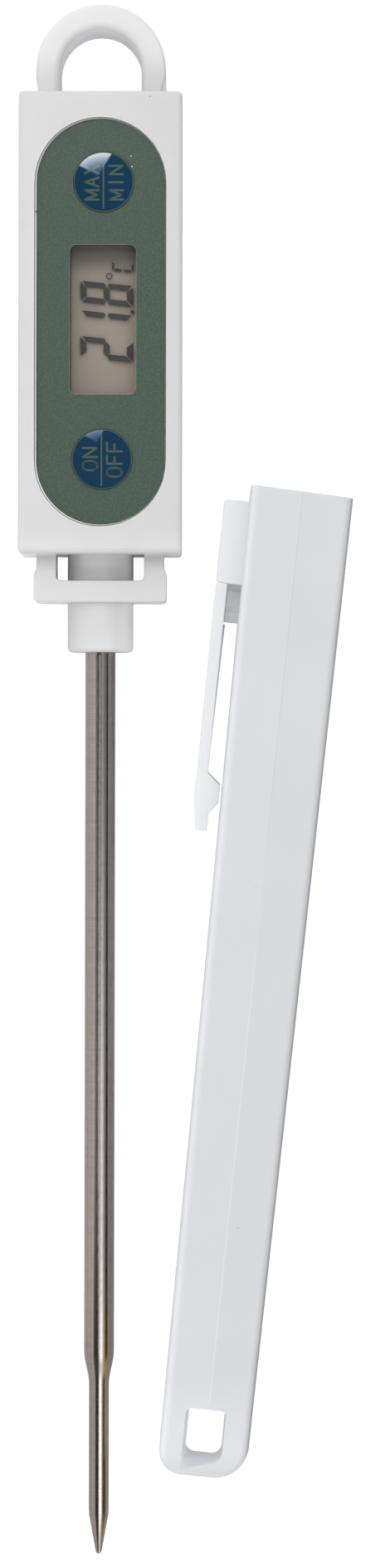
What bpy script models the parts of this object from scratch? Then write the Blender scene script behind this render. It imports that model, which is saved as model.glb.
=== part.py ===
"""Digital soil thermometer with a fixed steel probe, lying on its back beside its pocket sheath.

Metres, +Z up. The thermometer lies along Y, hanging loop towards +Y and probe tip towards -Y, with
its display facing +Z. The sheath lies beside it on one narrow side, mouth towards +Y. The origin is
under the middle of the pair, on the surface that both lie on.
"""

import math

import bmesh
import bpy
from mathutils import Matrix, Vector

MM = 0.001

# Clearances
SEAM = 0.30 * MM  # open line between the two housing shells, and beside a loose neighbour
FIT = 0.15 * MM  # round a piece that is seated or glued
RUN = 0.25 * MM  # round a piece that slides or turns
FILM_GAP = 0.10 * MM  # under a glued film and between stacked sheets
EMBED = 0.30 * MM  # how far a rib, boss or leg runs into the wall that carries it

# Housing
BODY_WIDTH = 21.5 * MM
BODY_LENGTH = 60.6 * MM
WALL = 1.6 * MM
FACE_WALL = 2.2 * MM
EDGE_ROUND = 0.6 * MM
TOP_CORNER = 0.65 * MM
BOTTOM_CORNER = 0.5 * MM
TONGUE_REACH = 1.4 * MM
TONGUE_THICKNESS = 0.8 * MM

# Hanging loop on the upper end, half of it on each shell
LOOP_WIDTH = 17.1 * MM
LOOP_HEIGHT = 11.75 * MM
LOOP_BAND = 3.2 * MM
LOOP_DEPTH = 12.0 * MM
LOOP_ROUND = 0.45 * MM
LOOP_EYE_ROUND = 1.0 * MM  # round the loop's eye
LOOP_WAIST = 0.4 * MM
LOOP_WAIST_HEIGHT = 2.0 * MM

# Snap bracket that the sheath's mouth grips, half of it on each shell
BRACKET_WIDTH = 17.5 * MM
BRACKET_WAIST = 16.8 * MM
BRACKET_DEPTH = 10.4 * MM
BRACKET_LENGTH = 6.35 * MM
BRACKET_BAR = 2.85 * MM
BRACKET_LEG = 2.6 * MM
BRACKET_CATCH = 1.9 * MM  # from the housing to the start of the wider catch
BRACKET_RAMP = 0.8 * MM
BRACKET_CORNER = 0.6 * MM
BRACKET_ROUND = 0.25 * MM

# Neck and probe
NECK_RADIUS = 4.35 * MM
NECK_LENGTH = 12.9 * MM
NECK_ROUND = 0.6 * MM
NECK_FLANGE = 4.95 * MM
NECK_FLANGE_THICKNESS = 2.1 * MM
NECK_TUBE = 2.9 * MM
NECK_TUBE_LENGTH = 3.2 * MM
NECK_GROOVE_DEPTH = 0.6 * MM
NECK_GROOVE_WIDTH = 1.0 * MM
PROBE_RADIUS = 2.0 * MM
PROBE_WALL = 0.3 * MM
PROBE_EXPOSED = 119.5 * MM
SHOULDER_LENGTH = 4.5 * MM
TIP_RADIUS = 1.33 * MM
TIP_LENGTH = 17.0 * MM
POINT_LENGTH = 5.5 * MM
POINT_RADIUS = 0.45 * MM

# Face label, display window and buttons
RECESS_DEPTH = 0.8 * MM
LABEL_SIDE_MARGIN = 2.25 * MM
LABEL_END_MARGIN = 3.6 * MM
LABEL_THICKNESS = 0.3 * MM
FACE_SHIFT = 0.25 * MM  # the window and buttons stand this far right of the housing's middle
FACE_RISE = 0.35 * MM
WINDOW_WIDTH = 8.7 * MM
WINDOW_INSET = 8.325 * MM  # from a button's middle to the window's end
WINDOW_CORNER = 0.55 * MM
LENS_LAP = 0.9 * MM
LENS_THICKNESS = 0.9 * MM
BUTTON_RADIUS = 3.85 * MM
BUTTON_INSET = 8.55 * MM  # from the label's end to a button's middle
BUTTON_TRAVEL = 0.4 * MM
BUTTON_FLANGE = 0.75 * MM
BUTTON_FLANGE_THICKNESS = 0.6 * MM
BUTTON_DOME = 0.58 * MM
BUTTON_CROWN = 1.2 * MM  # radius where the flank turns into the crown
BUTTON_STEM = 1.6 * MM

# Display, board and switches
BOARD_END_ROOM = 1.0 * MM
BOARD_THICKNESS = 1.0 * MM
BOARD_DROP = 6.4 * MM  # from the display side of the housing to the board's upper face
DISPLAY_LAP = 1.15 * MM
DISPLAY_THICKNESS = 1.1 * MM
REFLECTOR_THICKNESS = 0.2 * MM
HOLDER_WALL = 1.0 * MM
STRIP_WIDTH = 1.8 * MM
SWITCH_SIZE = 6.0 * MM
SWITCH_HEIGHT = 1.8 * MM
PLUNGER_RADIUS = 1.5 * MM
PLUNGER_LENGTH = 1.5 * MM
CHIP_RADIUS = 2.8 * MM
CHIP_HEIGHT = 0.9 * MM
CRYSTAL_RADIUS = 0.9 * MM
CRYSTAL_LENGTH = 5.0 * MM
POST_RADIUS = 1.4 * MM

# Battery bay and its door
CELL_RADIUS = 5.8 * MM
CELL_HEIGHT = 5.4 * MM
CELL_FROM_TOP = 12.6 * MM
BAY_WALL = 1.1 * MM
DOOR_LIP = 0.8 * MM
DOOR_FLANGE_THICKNESS = 0.8 * MM
DOOR_HUB_HEIGHT = 1.6 * MM
DOOR_SLOT_WIDTH = 1.6 * MM
DOOR_SLOT_LENGTH = 9.0 * MM
DOOR_SLOT_DEPTH = 0.45 * MM
RING_THICKNESS = 0.7 * MM
CONTACT_THICKNESS = 0.25 * MM
CONTACT_WIDTH = 3.0 * MM
CONTACT_ROOM = 2.4 * MM  # between cell and board, for the spring contact

# Fasteners
SCREW_RADIUS = 0.7 * MM
SCREW_HEAD = 1.4 * MM
SCREW_HEAD_HEIGHT = 0.9 * MM
SCREW_SLOT_WIDTH = 0.4 * MM
SCREW_SINK = 0.3 * MM
CASE_SCREW_LENGTH = 9.5 * MM
BOARD_SCREW_LENGTH = 3.4 * MM
BOSS_WALL = 1.15 * MM

# Sensor
BEAD_RADIUS = 0.6 * MM
BEAD_LENGTH = 2.4 * MM
LEAD_RADIUS = 0.25 * MM
LEAD_SPACING = 0.75 * MM
SLEEVE_RADIUS = 1.25 * MM
SLEEVE_WALL = 0.25 * MM
POTTING_LENGTH = 2.6 * MM

# Sheath and its pocket clip
SHEATH_LENGTH = 130.6 * MM
SHEATH_WALL = 1.35 * MM
SHEATH_END_NARROW = 11.7 * MM
SHEATH_END_WIDE = 12.8 * MM
SHEATH_EDGE = 1.6 * MM
SHEATH_END_ROUND = 2.9 * MM
SHEATH_GRIP_GAP = 0.17 * MM  # round the snap bracket inside the mouth
SHEATH_YAW = math.radians(5.7)
SHEATH_OFFSET = 26.52 * MM  # from the probe's axis to the middle of the mouth
SHEATH_RISE = 8.0 * MM  # from the housing's lower end up to the mouth
HOLE_WIDTH = 5.4 * MM
HOLE_LENGTH = 7.3 * MM
HOLE_CORNER = 0.6 * MM
HOLE_DRAFT = 0.25 * MM
HOLE_END_WALL = 2.1 * MM
CLIP_STANDOFF = 3.3 * MM  # from the sheath's side to the clip's outer face
CLIP_THICKNESS = 1.5 * MM
CLIP_WIDTH = 7.0 * MM
CLIP_START = 1.6 * MM
CLIP_ROOT = 12.4 * MM
CLIP_WEB_END = 17.8 * MM
CLIP_WEB_WIDTH = 4.4 * MM
CLIP_END = 45.4 * MM
CLIP_RIB_END = 35.2 * MM
CLIP_RIB_HEIGHT = 0.55 * MM
CLIP_RIB_WIDTH = 2.0 * MM
GRIP_FLAT = 2.3 * MM
GRIP_RAMP = 1.5 * MM
GRIP_FROM_END = 2.3 * MM
CLIP_TIP_TURN = 0.6 * MM

ROUND_STEPS = 32  # sides of the larger turned pieces
SMALL_STEPS = 14  # sides of the small ones

# Heights above the surface that the thermometer lies on: door, cell, contact, board, display, face
DOOR_BASE = FILM_GAP
DOOR_SEAT = DOOR_BASE + DOOR_FLANGE_THICKNESS + FILM_GAP
DOOR_TOP = DOOR_BASE + DOOR_FLANGE_THICKNESS + DOOR_HUB_HEIGHT
CELL_BASE = DOOR_TOP + SEAM
CELL_TOP = CELL_BASE + CELL_HEIGHT
BOARD_BASE = CELL_TOP + CONTACT_ROOM
BOARD_TOP = BOARD_BASE + BOARD_THICKNESS
BODY_DEPTH = BOARD_TOP + BOARD_DROP
MIDDLE = BODY_DEPTH / 2
FRONT_SEAM = MIDDLE + SEAM / 2
REAR_SEAM = MIDDLE - SEAM / 2
FACE_INSIDE = BODY_DEPTH - FACE_WALL
RECESS_FLOOR = BODY_DEPTH - RECESS_DEPTH
LABEL_BASE = RECESS_FLOOR + FILM_GAP
LABEL_TOP = LABEL_BASE + LABEL_THICKNESS
LENS_TOP = RECESS_FLOOR - FILM_GAP / 2
LENS_BASE = LENS_TOP - LENS_THICKNESS
LENS_SEAT = LENS_BASE - FILM_GAP
DISPLAY_TOP = FACE_INSIDE - SEAM
DISPLAY_BASE = DISPLAY_TOP - DISPLAY_THICKNESS
REFLECTOR_BASE = DISPLAY_BASE - FILM_GAP - REFLECTOR_THICKNESS
HOLDER_FLOOR = REFLECTOR_BASE - FILM_GAP

# Places along the thermometer, from the housing's lower end
LABEL_WIDTH = BODY_WIDTH - 2 * LABEL_SIDE_MARGIN
LABEL_LENGTH = BODY_LENGTH - 2 * LABEL_END_MARGIN
BUTTON_SPACING = LABEL_LENGTH - 2 * BUTTON_INSET
WINDOW_LENGTH = BUTTON_SPACING - 2 * WINDOW_INSET
FACE_MIDDLE = BODY_LENGTH / 2 + FACE_RISE
MAX_MIN_PLACE = FACE_MIDDLE + BUTTON_SPACING / 2
ON_OFF_PLACE = FACE_MIDDLE - BUTTON_SPACING / 2
BUTTON_HOLE = BUTTON_RADIUS + RUN
FLANGE_TOP = FACE_INSIDE - SEAM
FLANGE_BASE = FLANGE_TOP - BUTTON_FLANGE_THICKNESS
STEM_BASE = FLANGE_BASE - SEAM
PLUNGER_TOP = STEM_BASE - FILM_GAP
SWITCH_BASE = BOARD_TOP + FILM_GAP
SWITCH_TOP = SWITCH_BASE + SWITCH_HEIGHT
TONGUE_END = MIDDLE - TONGUE_REACH
BOSS_RADIUS = SCREW_RADIUS + FIT + BOSS_WALL
CASE_SCREW_INSET = WALL + FIT + FILM_GAP + BOSS_RADIUS
CASE_SCREW_X = BODY_WIDTH / 2 - CASE_SCREW_INSET
HOLDER_WIDTH = WINDOW_WIDTH + 2 * (DISPLAY_LAP + FIT + HOLDER_WALL)
HOLDER_LENGTH = WINDOW_LENGTH + 2 * (DISPLAY_LAP + FIT + HOLDER_WALL)
TONGUE_INSIDE = BODY_WIDTH / 2 - WALL - FIT - TONGUE_THICKNESS
POST_X = TONGUE_INSIDE - SCREW_HEAD - SEAM - FACE_SHIFT
POST_Y = HOLDER_LENGTH / 2 + POST_RADIUS + SEAM
BAY_PLACE = BODY_LENGTH - CELL_FROM_TOP
BAY_RADIUS = CELL_RADIUS + SEAM
DOOR_HUB_RADIUS = BAY_RADIUS + DOOR_LIP - RUN
DOOR_OPENING = BAY_RADIUS + DOOR_LIP
BAY_OUTSIDE = DOOR_OPENING + BAY_WALL
DOOR_FLANGE = DOOR_OPENING + DOOR_LIP - RUN
NECK_SHELF = WALL + RUN  # inner side of the lower end wall, where the neck's flange sits
RIB_PLACE = NECK_SHELF + NECK_FLANGE_THICKNESS + RUN
NECK_TOP = NECK_SHELF + NECK_FLANGE_THICKNESS + NECK_TUBE_LENGTH
BOARD_WIDTH = 2 * (TONGUE_INSIDE - FACE_SHIFT - SEAM)
BOARD_LOW = NECK_TOP + SEAM
BOARD_HIGH = BODY_LENGTH - CASE_SCREW_INSET - BOSS_RADIUS - BOARD_END_ROOM
PROBE_TOP = NECK_TOP - SEAM
PROBE_TIP = -NECK_LENGTH - PROBE_EXPOSED
PROBE_BORE = PROBE_RADIUS - PROBE_WALL
TIP_BORE = TIP_RADIUS - PROBE_WALL
BEAD_PLACE = PROBE_TIP + POINT_LENGTH + SEAM
MOUTH_NARROW = BRACKET_DEPTH + 2 * (SHEATH_GRIP_GAP + SHEATH_WALL)
MOUTH_WIDE = BRACKET_WIDTH + 2 * (SHEATH_GRIP_GAP + SHEATH_WALL)

# Where the pair lies
SHEATH_PITCH = math.atan((MOUTH_WIDE - SHEATH_END_WIDE) / 2 / SHEATH_LENGTH)
SHEATH_REACH = MOUTH_NARROW / 2 * math.cos(SHEATH_YAW) + (
    MOUTH_WIDE / 2 - SHEATH_EDGE
) * math.sin(SHEATH_PITCH) * math.sin(SHEATH_YAW)
THERMOMETER_X = (BODY_WIDTH / 2 - SHEATH_OFFSET - SHEATH_REACH) / 2
THERMOMETER_Y = -(BODY_LENGTH + LOOP_HEIGHT + PROBE_TIP) / 2


def clear_scene():
    for obj in list(bpy.data.objects):
        bpy.data.objects.remove(obj, do_unlink=True)


def finish(name, color, roughness, metallic=0.0, alpha=1.0):
    """A material with one plain Principled BSDF."""
    material = bpy.data.materials.new(name)
    material.use_nodes = True
    shader = material.node_tree.nodes["Principled BSDF"]
    shader.inputs["Base Color"].default_value = (*color, 1.0)
    shader.inputs["Roughness"].default_value = roughness
    shader.inputs["Metallic"].default_value = metallic
    shader.inputs["Alpha"].default_value = alpha
    return material


def frame_empty(name, location, rotation=(0.0, 0.0, 0.0)):
    empty = bpy.data.objects.new(name, None)
    empty.location = location
    empty.rotation_euler = rotation
    bpy.context.scene.collection.objects.link(empty)
    return empty


def add_object(name, bm, parent, material=None, origin=(0.0, 0.0, 0.0)):
    """Turns a bmesh, built in its parent's frame, into an object whose origin is at `origin`."""
    bmesh.ops.translate(bm, vec=-Vector(origin), verts=bm.verts)
    bmesh.ops.recalc_face_normals(bm, faces=bm.faces)
    mesh = bpy.data.meshes.new(name)
    bm.to_mesh(mesh)
    bm.free()
    mesh.shade_smooth()
    mesh.set_sharp_from_angle(angle=math.radians(32))
    obj = bpy.data.objects.new(name, mesh)
    obj.location = origin
    obj.parent = parent
    bpy.context.scene.collection.objects.link(obj)
    if material is None:
        obj.hide_render = True
        obj.display_type = "WIRE"
    else:
        mesh.materials.append(material)
    return obj


def combine(obj, helpers, operation):
    """Adds or cuts away a group of helper solids in one step; they stay in the file as guides."""
    group = bpy.data.collections.new(f"{obj.name}_{operation.lower()}_{len(obj.modifiers)}")
    for helper in helpers:
        group.objects.link(helper)
    modifier = obj.modifiers.new(operation.lower(), "BOOLEAN")
    modifier.operation = operation
    modifier.solver = "EXACT"
    modifier.operand_type = "COLLECTION"
    modifier.collection = group


def cut(obj, *helpers):
    combine(obj, helpers, "DIFFERENCE")


def join(obj, *helpers):
    combine(obj, helpers, "UNION")


def arc(center, radius, start, end, steps):
    """Points along an arc, angles in degrees, both ends included."""
    points = []
    for i in range(steps + 1):
        angle = math.radians(start + (end - start) * i / steps)
        points.append((center[0] + radius * math.cos(angle), center[1] + radius * math.sin(angle)))
    return points


def rounded_rectangle(width, length, corners, center=(0.0, 0.0), steps=4):
    """An outline whose upper and lower corners may have different radii."""
    upper, lower = corners
    points = []
    for quarter, (sx, sy, radius) in enumerate(
        ((1, 1, upper), (-1, 1, upper), (-1, -1, lower), (1, -1, lower))
    ):
        middle = (
            center[0] + sx * (width / 2 - radius),
            center[1] + sy * (length / 2 - radius),
        )
        points += arc(middle, radius, 90 * quarter, 90 * quarter + 90, steps)
    return points


def circle(radius, center=(0.0, 0.0), steps=ROUND_STEPS):
    return arc(center, radius, 0, 360, steps)[:-1]


def loft(rings, closed_loop=False, caps=True):
    """Skins a list of rings that have equally many points."""
    bm = bmesh.new()
    rows = [[bm.verts.new(point) for point in ring] for ring in rings]
    pairs = list(zip(rows, rows[1:]))
    if closed_loop:
        pairs.append((rows[-1], rows[0]))
    for lower, upper in pairs:
        count = len(lower)
        for i in range(count):
            j = (i + 1) % count
            bm.faces.new((lower[i], lower[j], upper[j], upper[i]))
    if caps and not closed_loop:
        bm.faces.new(rows[0])
        bm.faces.new(rows[-1])
    return bm


def slab(outline, low, high):
    """An outline in XY, given thickness along Z."""
    return loft([[(x, y, z) for x, y in outline] for z in (low, high)])


def turned(profile, axis, center, steps=ROUND_STEPS, closed=False):
    """A turned solid. The profile holds (radius, height) pairs along the axis "Y" or "Z".

    An open profile starts and ends on the axis; a closed one is the section of a ring.
    """
    bm = bmesh.new()
    rows = []
    for radius, height in profile:
        row = []
        for i in range(steps if radius > 0 else 1):
            angle = 2 * math.pi * i / steps
            across, aside = radius * math.cos(angle), radius * math.sin(angle)
            point = (across, height, aside) if axis == "Y" else (across, aside, height)
            row.append(bm.verts.new(Vector(point) + Vector(center)))
        rows.append(row)
    pairs = list(zip(rows, rows[1:]))
    if closed:
        pairs.append((rows[-1], rows[0]))
    for lower, upper in pairs:
        for i in range(steps):
            j = (i + 1) % steps
            corners = [lower[i % len(lower)], lower[j % len(lower)]]
            corners += [upper[j % len(upper)], upper[i % len(upper)]]
            unique = list(dict.fromkeys(corners))
            if len(unique) > 2:
                bm.faces.new(unique)
    return bm


def rod(radius, low, high, axis, center, steps=ROUND_STEPS):
    return turned([(0, low), (radius, low), (radius, high), (0, high)], axis, center, steps)


def tube(inner, outer, low, high, axis, center, steps=ROUND_STEPS):
    profile = [(inner, low), (outer, low), (outer, high), (inner, high)]
    return turned(profile, axis, center, steps, closed=True)


def block(low, high):
    """A box between two corners."""
    outline = [(low[0], low[1]), (high[0], low[1]), (high[0], high[1]), (low[0], high[1])]
    return slab(outline, low[2], high[2])


def body_outline(inset, steps=4):
    """The housing's outline in XY, drawn in by an inset."""
    corners = [max(corner - inset, 0.12 * MM) for corner in (TOP_CORNER, BOTTOM_CORNER)]
    width, length = BODY_WIDTH - 2 * inset, BODY_LENGTH - 2 * inset
    return rounded_rectangle(width, length, corners, (0.0, BODY_LENGTH / 2), steps)


def body_ring(profile):
    """A ring that follows the housing's outline; the profile holds (inset, z) pairs."""
    rings = [[(x, y, z) for x, y in body_outline(inset)] for inset, z in profile]
    return loft(rings, closed_loop=True)


def framed(outer, inner, low, high):
    """A flat frame between two outlines with equally many points."""
    rings = [
        [(x, y, low) for x, y in outer],
        [(x, y, high) for x, y in outer],
        [(x, y, high) for x, y in inner],
        [(x, y, low) for x, y in inner],
    ]
    return loft(rings, closed_loop=True)


def outline_stack(layers):
    """A solid that follows the housing's outline; the layers hold (inset, z) pairs."""
    return loft([[(x, y, z) for x, y in body_outline(inset)] for inset, z in layers])


def shell_blank(seam, face, tongue=()):
    """One half of the housing, solid, with the edge of its outer face rounded."""
    up = 1 if face > seam else -1
    layers = [*tongue, (0.0, seam)]
    steps = 4
    for i in range(steps + 1):
        angle = math.radians(90 * i / steps)
        inset = EDGE_ROUND * (1 - math.cos(angle))
        layers.append((inset, face - up * EDGE_ROUND * (1 - math.sin(angle))))
    return outline_stack(layers)


def loop_half(seam, face, waist):
    """Half of the hanging loop: a rounded band swept up one leg, over the arch and down the other."""
    up = 1 if face > seam else -1
    radius = (LOOP_WIDTH - LOOP_BAND) / 2
    spring = BODY_LENGTH + LOOP_HEIGHT - LOOP_WIDTH / 2
    arch_steps = 20
    leg = [
        (BODY_LENGTH - EMBED - EDGE_ROUND, waist),
        (BODY_LENGTH + LOOP_WAIST_HEIGHT * 0.4, waist),
        (BODY_LENGTH + LOOP_WAIST_HEIGHT, 0.0),
    ]
    stations = [((radius, y), 0.0, narrowing) for y, narrowing in leg]
    for i in range(arch_steps + 1):
        angle = math.pi * i / arch_steps
        place = (radius * math.cos(angle), spring + radius * math.sin(angle))
        stations.append((place, angle, 0.0))
    stations += [((-radius, y), math.pi, narrowing) for y, narrowing in reversed(leg)]
    rings = []
    for (x, y), angle, narrowing in stations:
        outward = Vector((math.cos(angle), math.sin(angle), 0.0))
        half = LOOP_BAND / 2
        section = [(-half, seam)]
        for edge, side, size in (
            (-half, -1, LOOP_EYE_ROUND),
            (half - narrowing, 1, LOOP_ROUND),
        ):
            turns = arc((0.0, 0.0), size, 0, 90, 4)
            turns = turns if side < 0 else list(reversed(turns))
            section += [(edge + side * (a - size), face + up * (b - size)) for a, b in turns]
        section.append((half - narrowing * 0.4, seam))
        rings.append([Vector((x, y, 0.0)) + outward * s + Vector((0, 0, z)) for s, z in section])
    return loft(rings)


def bracket_half(seam, face):
    """Half of the snap bracket: two narrow legs, a wider catch and a crossbar under the neck."""
    wide, waist = BRACKET_WIDTH / 2, BRACKET_WAIST / 2
    inner = waist - BRACKET_LEG
    top = EMBED + EDGE_ROUND
    catch, bar = -BRACKET_CATCH, -(BRACKET_LENGTH - BRACKET_BAR)
    half = [(inner, top), (waist, top), (waist, catch), (wide, catch - BRACKET_RAMP)]
    half += list(
        reversed(
            arc(
                (wide - BRACKET_CORNER, -BRACKET_LENGTH + BRACKET_CORNER),
                BRACKET_CORNER,
                -90,
                0,
                4,
            )
        )
    )
    mirrored = [(-x, y) for x, y in reversed(half)]
    corner_x, corner_y = inner - BRACKET_CORNER, bar + BRACKET_CORNER
    left = arc((-corner_x, corner_y), BRACKET_CORNER, 180, 270, 4)
    right = arc((corner_x, corner_y), BRACKET_CORNER, 270, 360, 4)
    return slab(half + mirrored + left + right, min(seam, face), max(seam, face))


def round_edges(obj, width):
    modifier = obj.modifiers.new("rounded_edges", "BEVEL")
    modifier.width = width
    modifier.segments = 2
    modifier.limit_method = "ANGLE"
    modifier.angle_limit = math.radians(50)


def neck_cutter(parent, name):
    """The way for the neck through bracket and end wall, its flange's pocket and its tube's passage."""
    profile = [
        (0.0, -NECK_LENGTH),
        (NECK_RADIUS + FIT, -NECK_LENGTH),
        (NECK_RADIUS + FIT, WALL),
        (NECK_FLANGE + RUN, WALL),
        (NECK_FLANGE + RUN, RIB_PLACE),
        (NECK_TUBE + FIT, RIB_PLACE),
        (NECK_TUBE + FIT, NECK_TOP + SEAM),
        (0.0, NECK_TOP + SEAM),
    ]
    return add_object(name + "_neck_way", turned(profile, "Y", (0.0, 0.0, MIDDLE)), parent)


def case_screw_places():
    rows = (CASE_SCREW_INSET, BODY_LENGTH - CASE_SCREW_INSET)
    return [(side * CASE_SCREW_X, y) for y in rows for side in (-1, 1)]


def board_screw_places():
    return [
        (FACE_SHIFT - POST_X, FACE_MIDDLE + POST_Y),
        (FACE_SHIFT + POST_X, FACE_MIDDLE - POST_Y),
    ]


def window_outline(growth, corner):
    width, length = WINDOW_WIDTH + 2 * growth, WINDOW_LENGTH + 2 * growth
    return rounded_rectangle(width, length, (corner, corner), (FACE_SHIFT, FACE_MIDDLE))


def label_outline(growth):
    width, length = LABEL_WIDTH + 2 * growth, LABEL_LENGTH + 2 * growth
    corner = width / 2 - 0.01 * MM
    return rounded_rectangle(width, length, (corner, corner), (0.0, BODY_LENGTH / 2), 10)


def rib(low, high):
    """The cross rib that holds the neck's flange against the end wall."""
    half = CASE_SCREW_X - BOSS_RADIUS - SEAM
    return block((-half, RIB_PLACE, low), (half, RIB_PLACE + NECK_TUBE_LENGTH / 3, high))


def front_housing(parent, material):
    tongue_top = MIDDLE + TONGUE_REACH
    tongue_outer = WALL + FIT
    tongue_inner = tongue_outer + TONGUE_THICKNESS
    tongue = [(tongue_outer, TONGUE_END), (tongue_outer, FRONT_SEAM)]
    blank = shell_blank(FRONT_SEAM, BODY_DEPTH, tongue)
    shell = add_object("front_housing", blank, parent, material)
    room = [
        (tongue_inner, TONGUE_END - SEAM),
        (tongue_inner, tongue_top),
        (WALL, tongue_top),
        (WALL, FACE_INSIDE),
    ]
    cut(shell, add_object("front_cavity", outline_stack(room), parent))
    loop_face = MIDDLE + LOOP_DEPTH / 2
    bracket_face = MIDDLE + BRACKET_DEPTH / 2
    loop = add_object("front_loop", loop_half(FRONT_SEAM, loop_face, LOOP_WAIST), parent)
    bracket = add_object("front_bracket", bracket_half(FRONT_SEAM, bracket_face), parent)
    round_edges(bracket, BRACKET_ROUND)
    added = [
        loop,
        bracket,
        add_object("front_rib", rib(FRONT_SEAM, FACE_INSIDE + EMBED), parent),
    ]
    for i, place in enumerate(case_screw_places()):
        low, high = TONGUE_END + FIT, FACE_INSIDE + EMBED
        boss = rod(BOSS_RADIUS, low, high, "Z", (*place, 0.0), SMALL_STEPS)
        added.append(add_object(f"front_boss_{i + 1}", boss, parent))
    for i, place in enumerate(board_screw_places()):
        low, high = BOARD_TOP + FILM_GAP, FACE_INSIDE + EMBED
        post = rod(POST_RADIUS, low, high, "Z", (*place, 0.0), SMALL_STEPS)
        added.append(add_object(f"board_post_{i + 1}", post, parent))
    join(shell, *added)

    recess = slab(label_outline(FIT), RECESS_FLOOR, BODY_DEPTH + WALL)
    seat = slab(window_outline(LENS_LAP, 2 * WINDOW_CORNER), LENS_SEAT, BODY_DEPTH)
    window = slab(window_outline(FIT, WINDOW_CORNER), MIDDLE, BODY_DEPTH)
    groove_low = WALL / 2 - RING_THICKNESS / 2 - FILM_GAP / 2
    groove_high = WALL / 2 + RING_THICKNESS / 2 + FILM_GAP / 2
    groove = body_ring(
        [
            (groove_low, FRONT_SEAM - SEAM),
            (groove_high, FRONT_SEAM - SEAM),
            (groove_high, FRONT_SEAM + RING_THICKNESS),
            (groove_low, FRONT_SEAM + RING_THICKNESS),
        ]
    )
    relief_top = CELL_TOP + 2 * SEAM
    relief = rod(BAY_OUTSIDE + SEAM, TONGUE_END - SEAM, relief_top, "Z", (0.0, BAY_PLACE, 0.0))
    removed = [
        neck_cutter(parent, "front"),
        add_object("bay_relief", relief, parent),
        add_object("label_recess", recess, parent),
        add_object("lens_seat", seat, parent),
        add_object("window_opening", window, parent),
        add_object("seal_groove", groove, parent),
    ]
    for name, y in (("max_min", MAX_MIN_PLACE), ("on_off", ON_OFF_PLACE)):
        hole = rod(BUTTON_HOLE, FACE_INSIDE - WALL, BODY_DEPTH, "Z", (FACE_SHIFT, y, 0.0))
        removed.append(add_object(name + "_hole", hole, parent))
    for i, place in enumerate(case_screw_places()):
        top = SCREW_SINK + CASE_SCREW_LENGTH + SEAM
        bore = rod(SCREW_RADIUS + FIT, 0.0, top, "Z", (*place, 0.0), SMALL_STEPS)
        removed.append(add_object(f"front_screw_bore_{i + 1}", bore, parent))
    for i, place in enumerate(board_screw_places()):
        top = BOARD_BASE + BOARD_SCREW_LENGTH
        bore = rod(SCREW_RADIUS + FIT, 0.0, top, "Z", (*place, 0.0), SMALL_STEPS)
        removed.append(add_object(f"post_bore_{i + 1}", bore, parent))
    cut(shell, *removed)
    return shell


def rear_housing(parent, material):
    shell = add_object("rear_housing", shell_blank(REAR_SEAM, 0.0), parent, material)
    room = [(WALL, WALL), (WALL, MIDDLE + WALL)]
    cut(shell, add_object("rear_cavity", outline_stack(room), parent))
    loop_face = MIDDLE - LOOP_DEPTH / 2
    bracket_face = MIDDLE - BRACKET_DEPTH / 2
    loop = add_object("rear_loop", loop_half(REAR_SEAM, loop_face, 0.0), parent)
    bracket = add_object("rear_bracket", bracket_half(REAR_SEAM, bracket_face), parent)
    round_edges(bracket, BRACKET_ROUND)
    low = WALL - EMBED
    bay_center = (0.0, BAY_PLACE, 0.0)
    bay = rod(BAY_OUTSIDE, low, CELL_TOP + SEAM, "Z", bay_center)
    added = [
        loop,
        bracket,
        add_object("rear_rib", rib(low, REAR_SEAM), parent),
        add_object("battery_bay", bay, parent),
    ]
    for i, place in enumerate(case_screw_places()):
        boss = rod(BOSS_RADIUS, low, TONGUE_END - SEAM, "Z", (*place, 0.0), SMALL_STEPS)
        added.append(add_object(f"rear_boss_{i + 1}", boss, parent))
    join(shell, *added)

    well = turned(
        [
            (0.0, -WALL),
            (DOOR_FLANGE + RUN, -WALL),
            (DOOR_FLANGE + RUN, DOOR_SEAT),
            (DOOR_OPENING, DOOR_SEAT),
            (DOOR_OPENING, DOOR_TOP + FILM_GAP),
            (BAY_RADIUS, DOOR_TOP + FILM_GAP),
            (BAY_RADIUS, MIDDLE),
            (0.0, MIDDLE),
        ],
        "Z",
        bay_center,
    )
    slot_half = CONTACT_WIDTH / 2 + FIT
    contact_slot = block(
        (BAY_RADIUS - WALL, BAY_PLACE - slot_half, CELL_BASE),
        (BAY_RADIUS + FIT + CONTACT_THICKNESS, BAY_PLACE + slot_half, MIDDLE),
    )
    removed = [
        neck_cutter(parent, "rear"),
        add_object("cell_well", well, parent),
        add_object("contact_slot", contact_slot, parent),
    ]
    sink_top = SCREW_SINK + SCREW_HEAD_HEIGHT + FILM_GAP
    for i, place in enumerate(case_screw_places()):
        bore = turned(
            [
                (0.0, -WALL),
                (SCREW_HEAD + FIT, -WALL),
                (SCREW_HEAD + FIT, sink_top),
                (SCREW_RADIUS + FIT, sink_top),
                (SCREW_RADIUS + FIT, MIDDLE),
                (0.0, MIDDLE),
            ],
            "Z",
            (*place, 0.0),
            SMALL_STEPS,
        )
        removed.append(add_object(f"rear_screw_bore_{i + 1}", bore, parent))
    cut(shell, *removed)
    return shell


def housing_seal(parent, material):
    half = RING_THICKNESS / 2
    low, high = REAR_SEAM + FILM_GAP, FRONT_SEAM + RING_THICKNESS - FILM_GAP
    ring = body_ring(
        [
            (WALL / 2 - half, low),
            (WALL / 2 + half, low),
            (WALL / 2 + half, high),
            (WALL / 2 - half, high),
        ]
    )
    seal = add_object("housing_seal", ring, parent, material)
    cut(seal, neck_cutter(parent, "seal"))
    return seal


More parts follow.
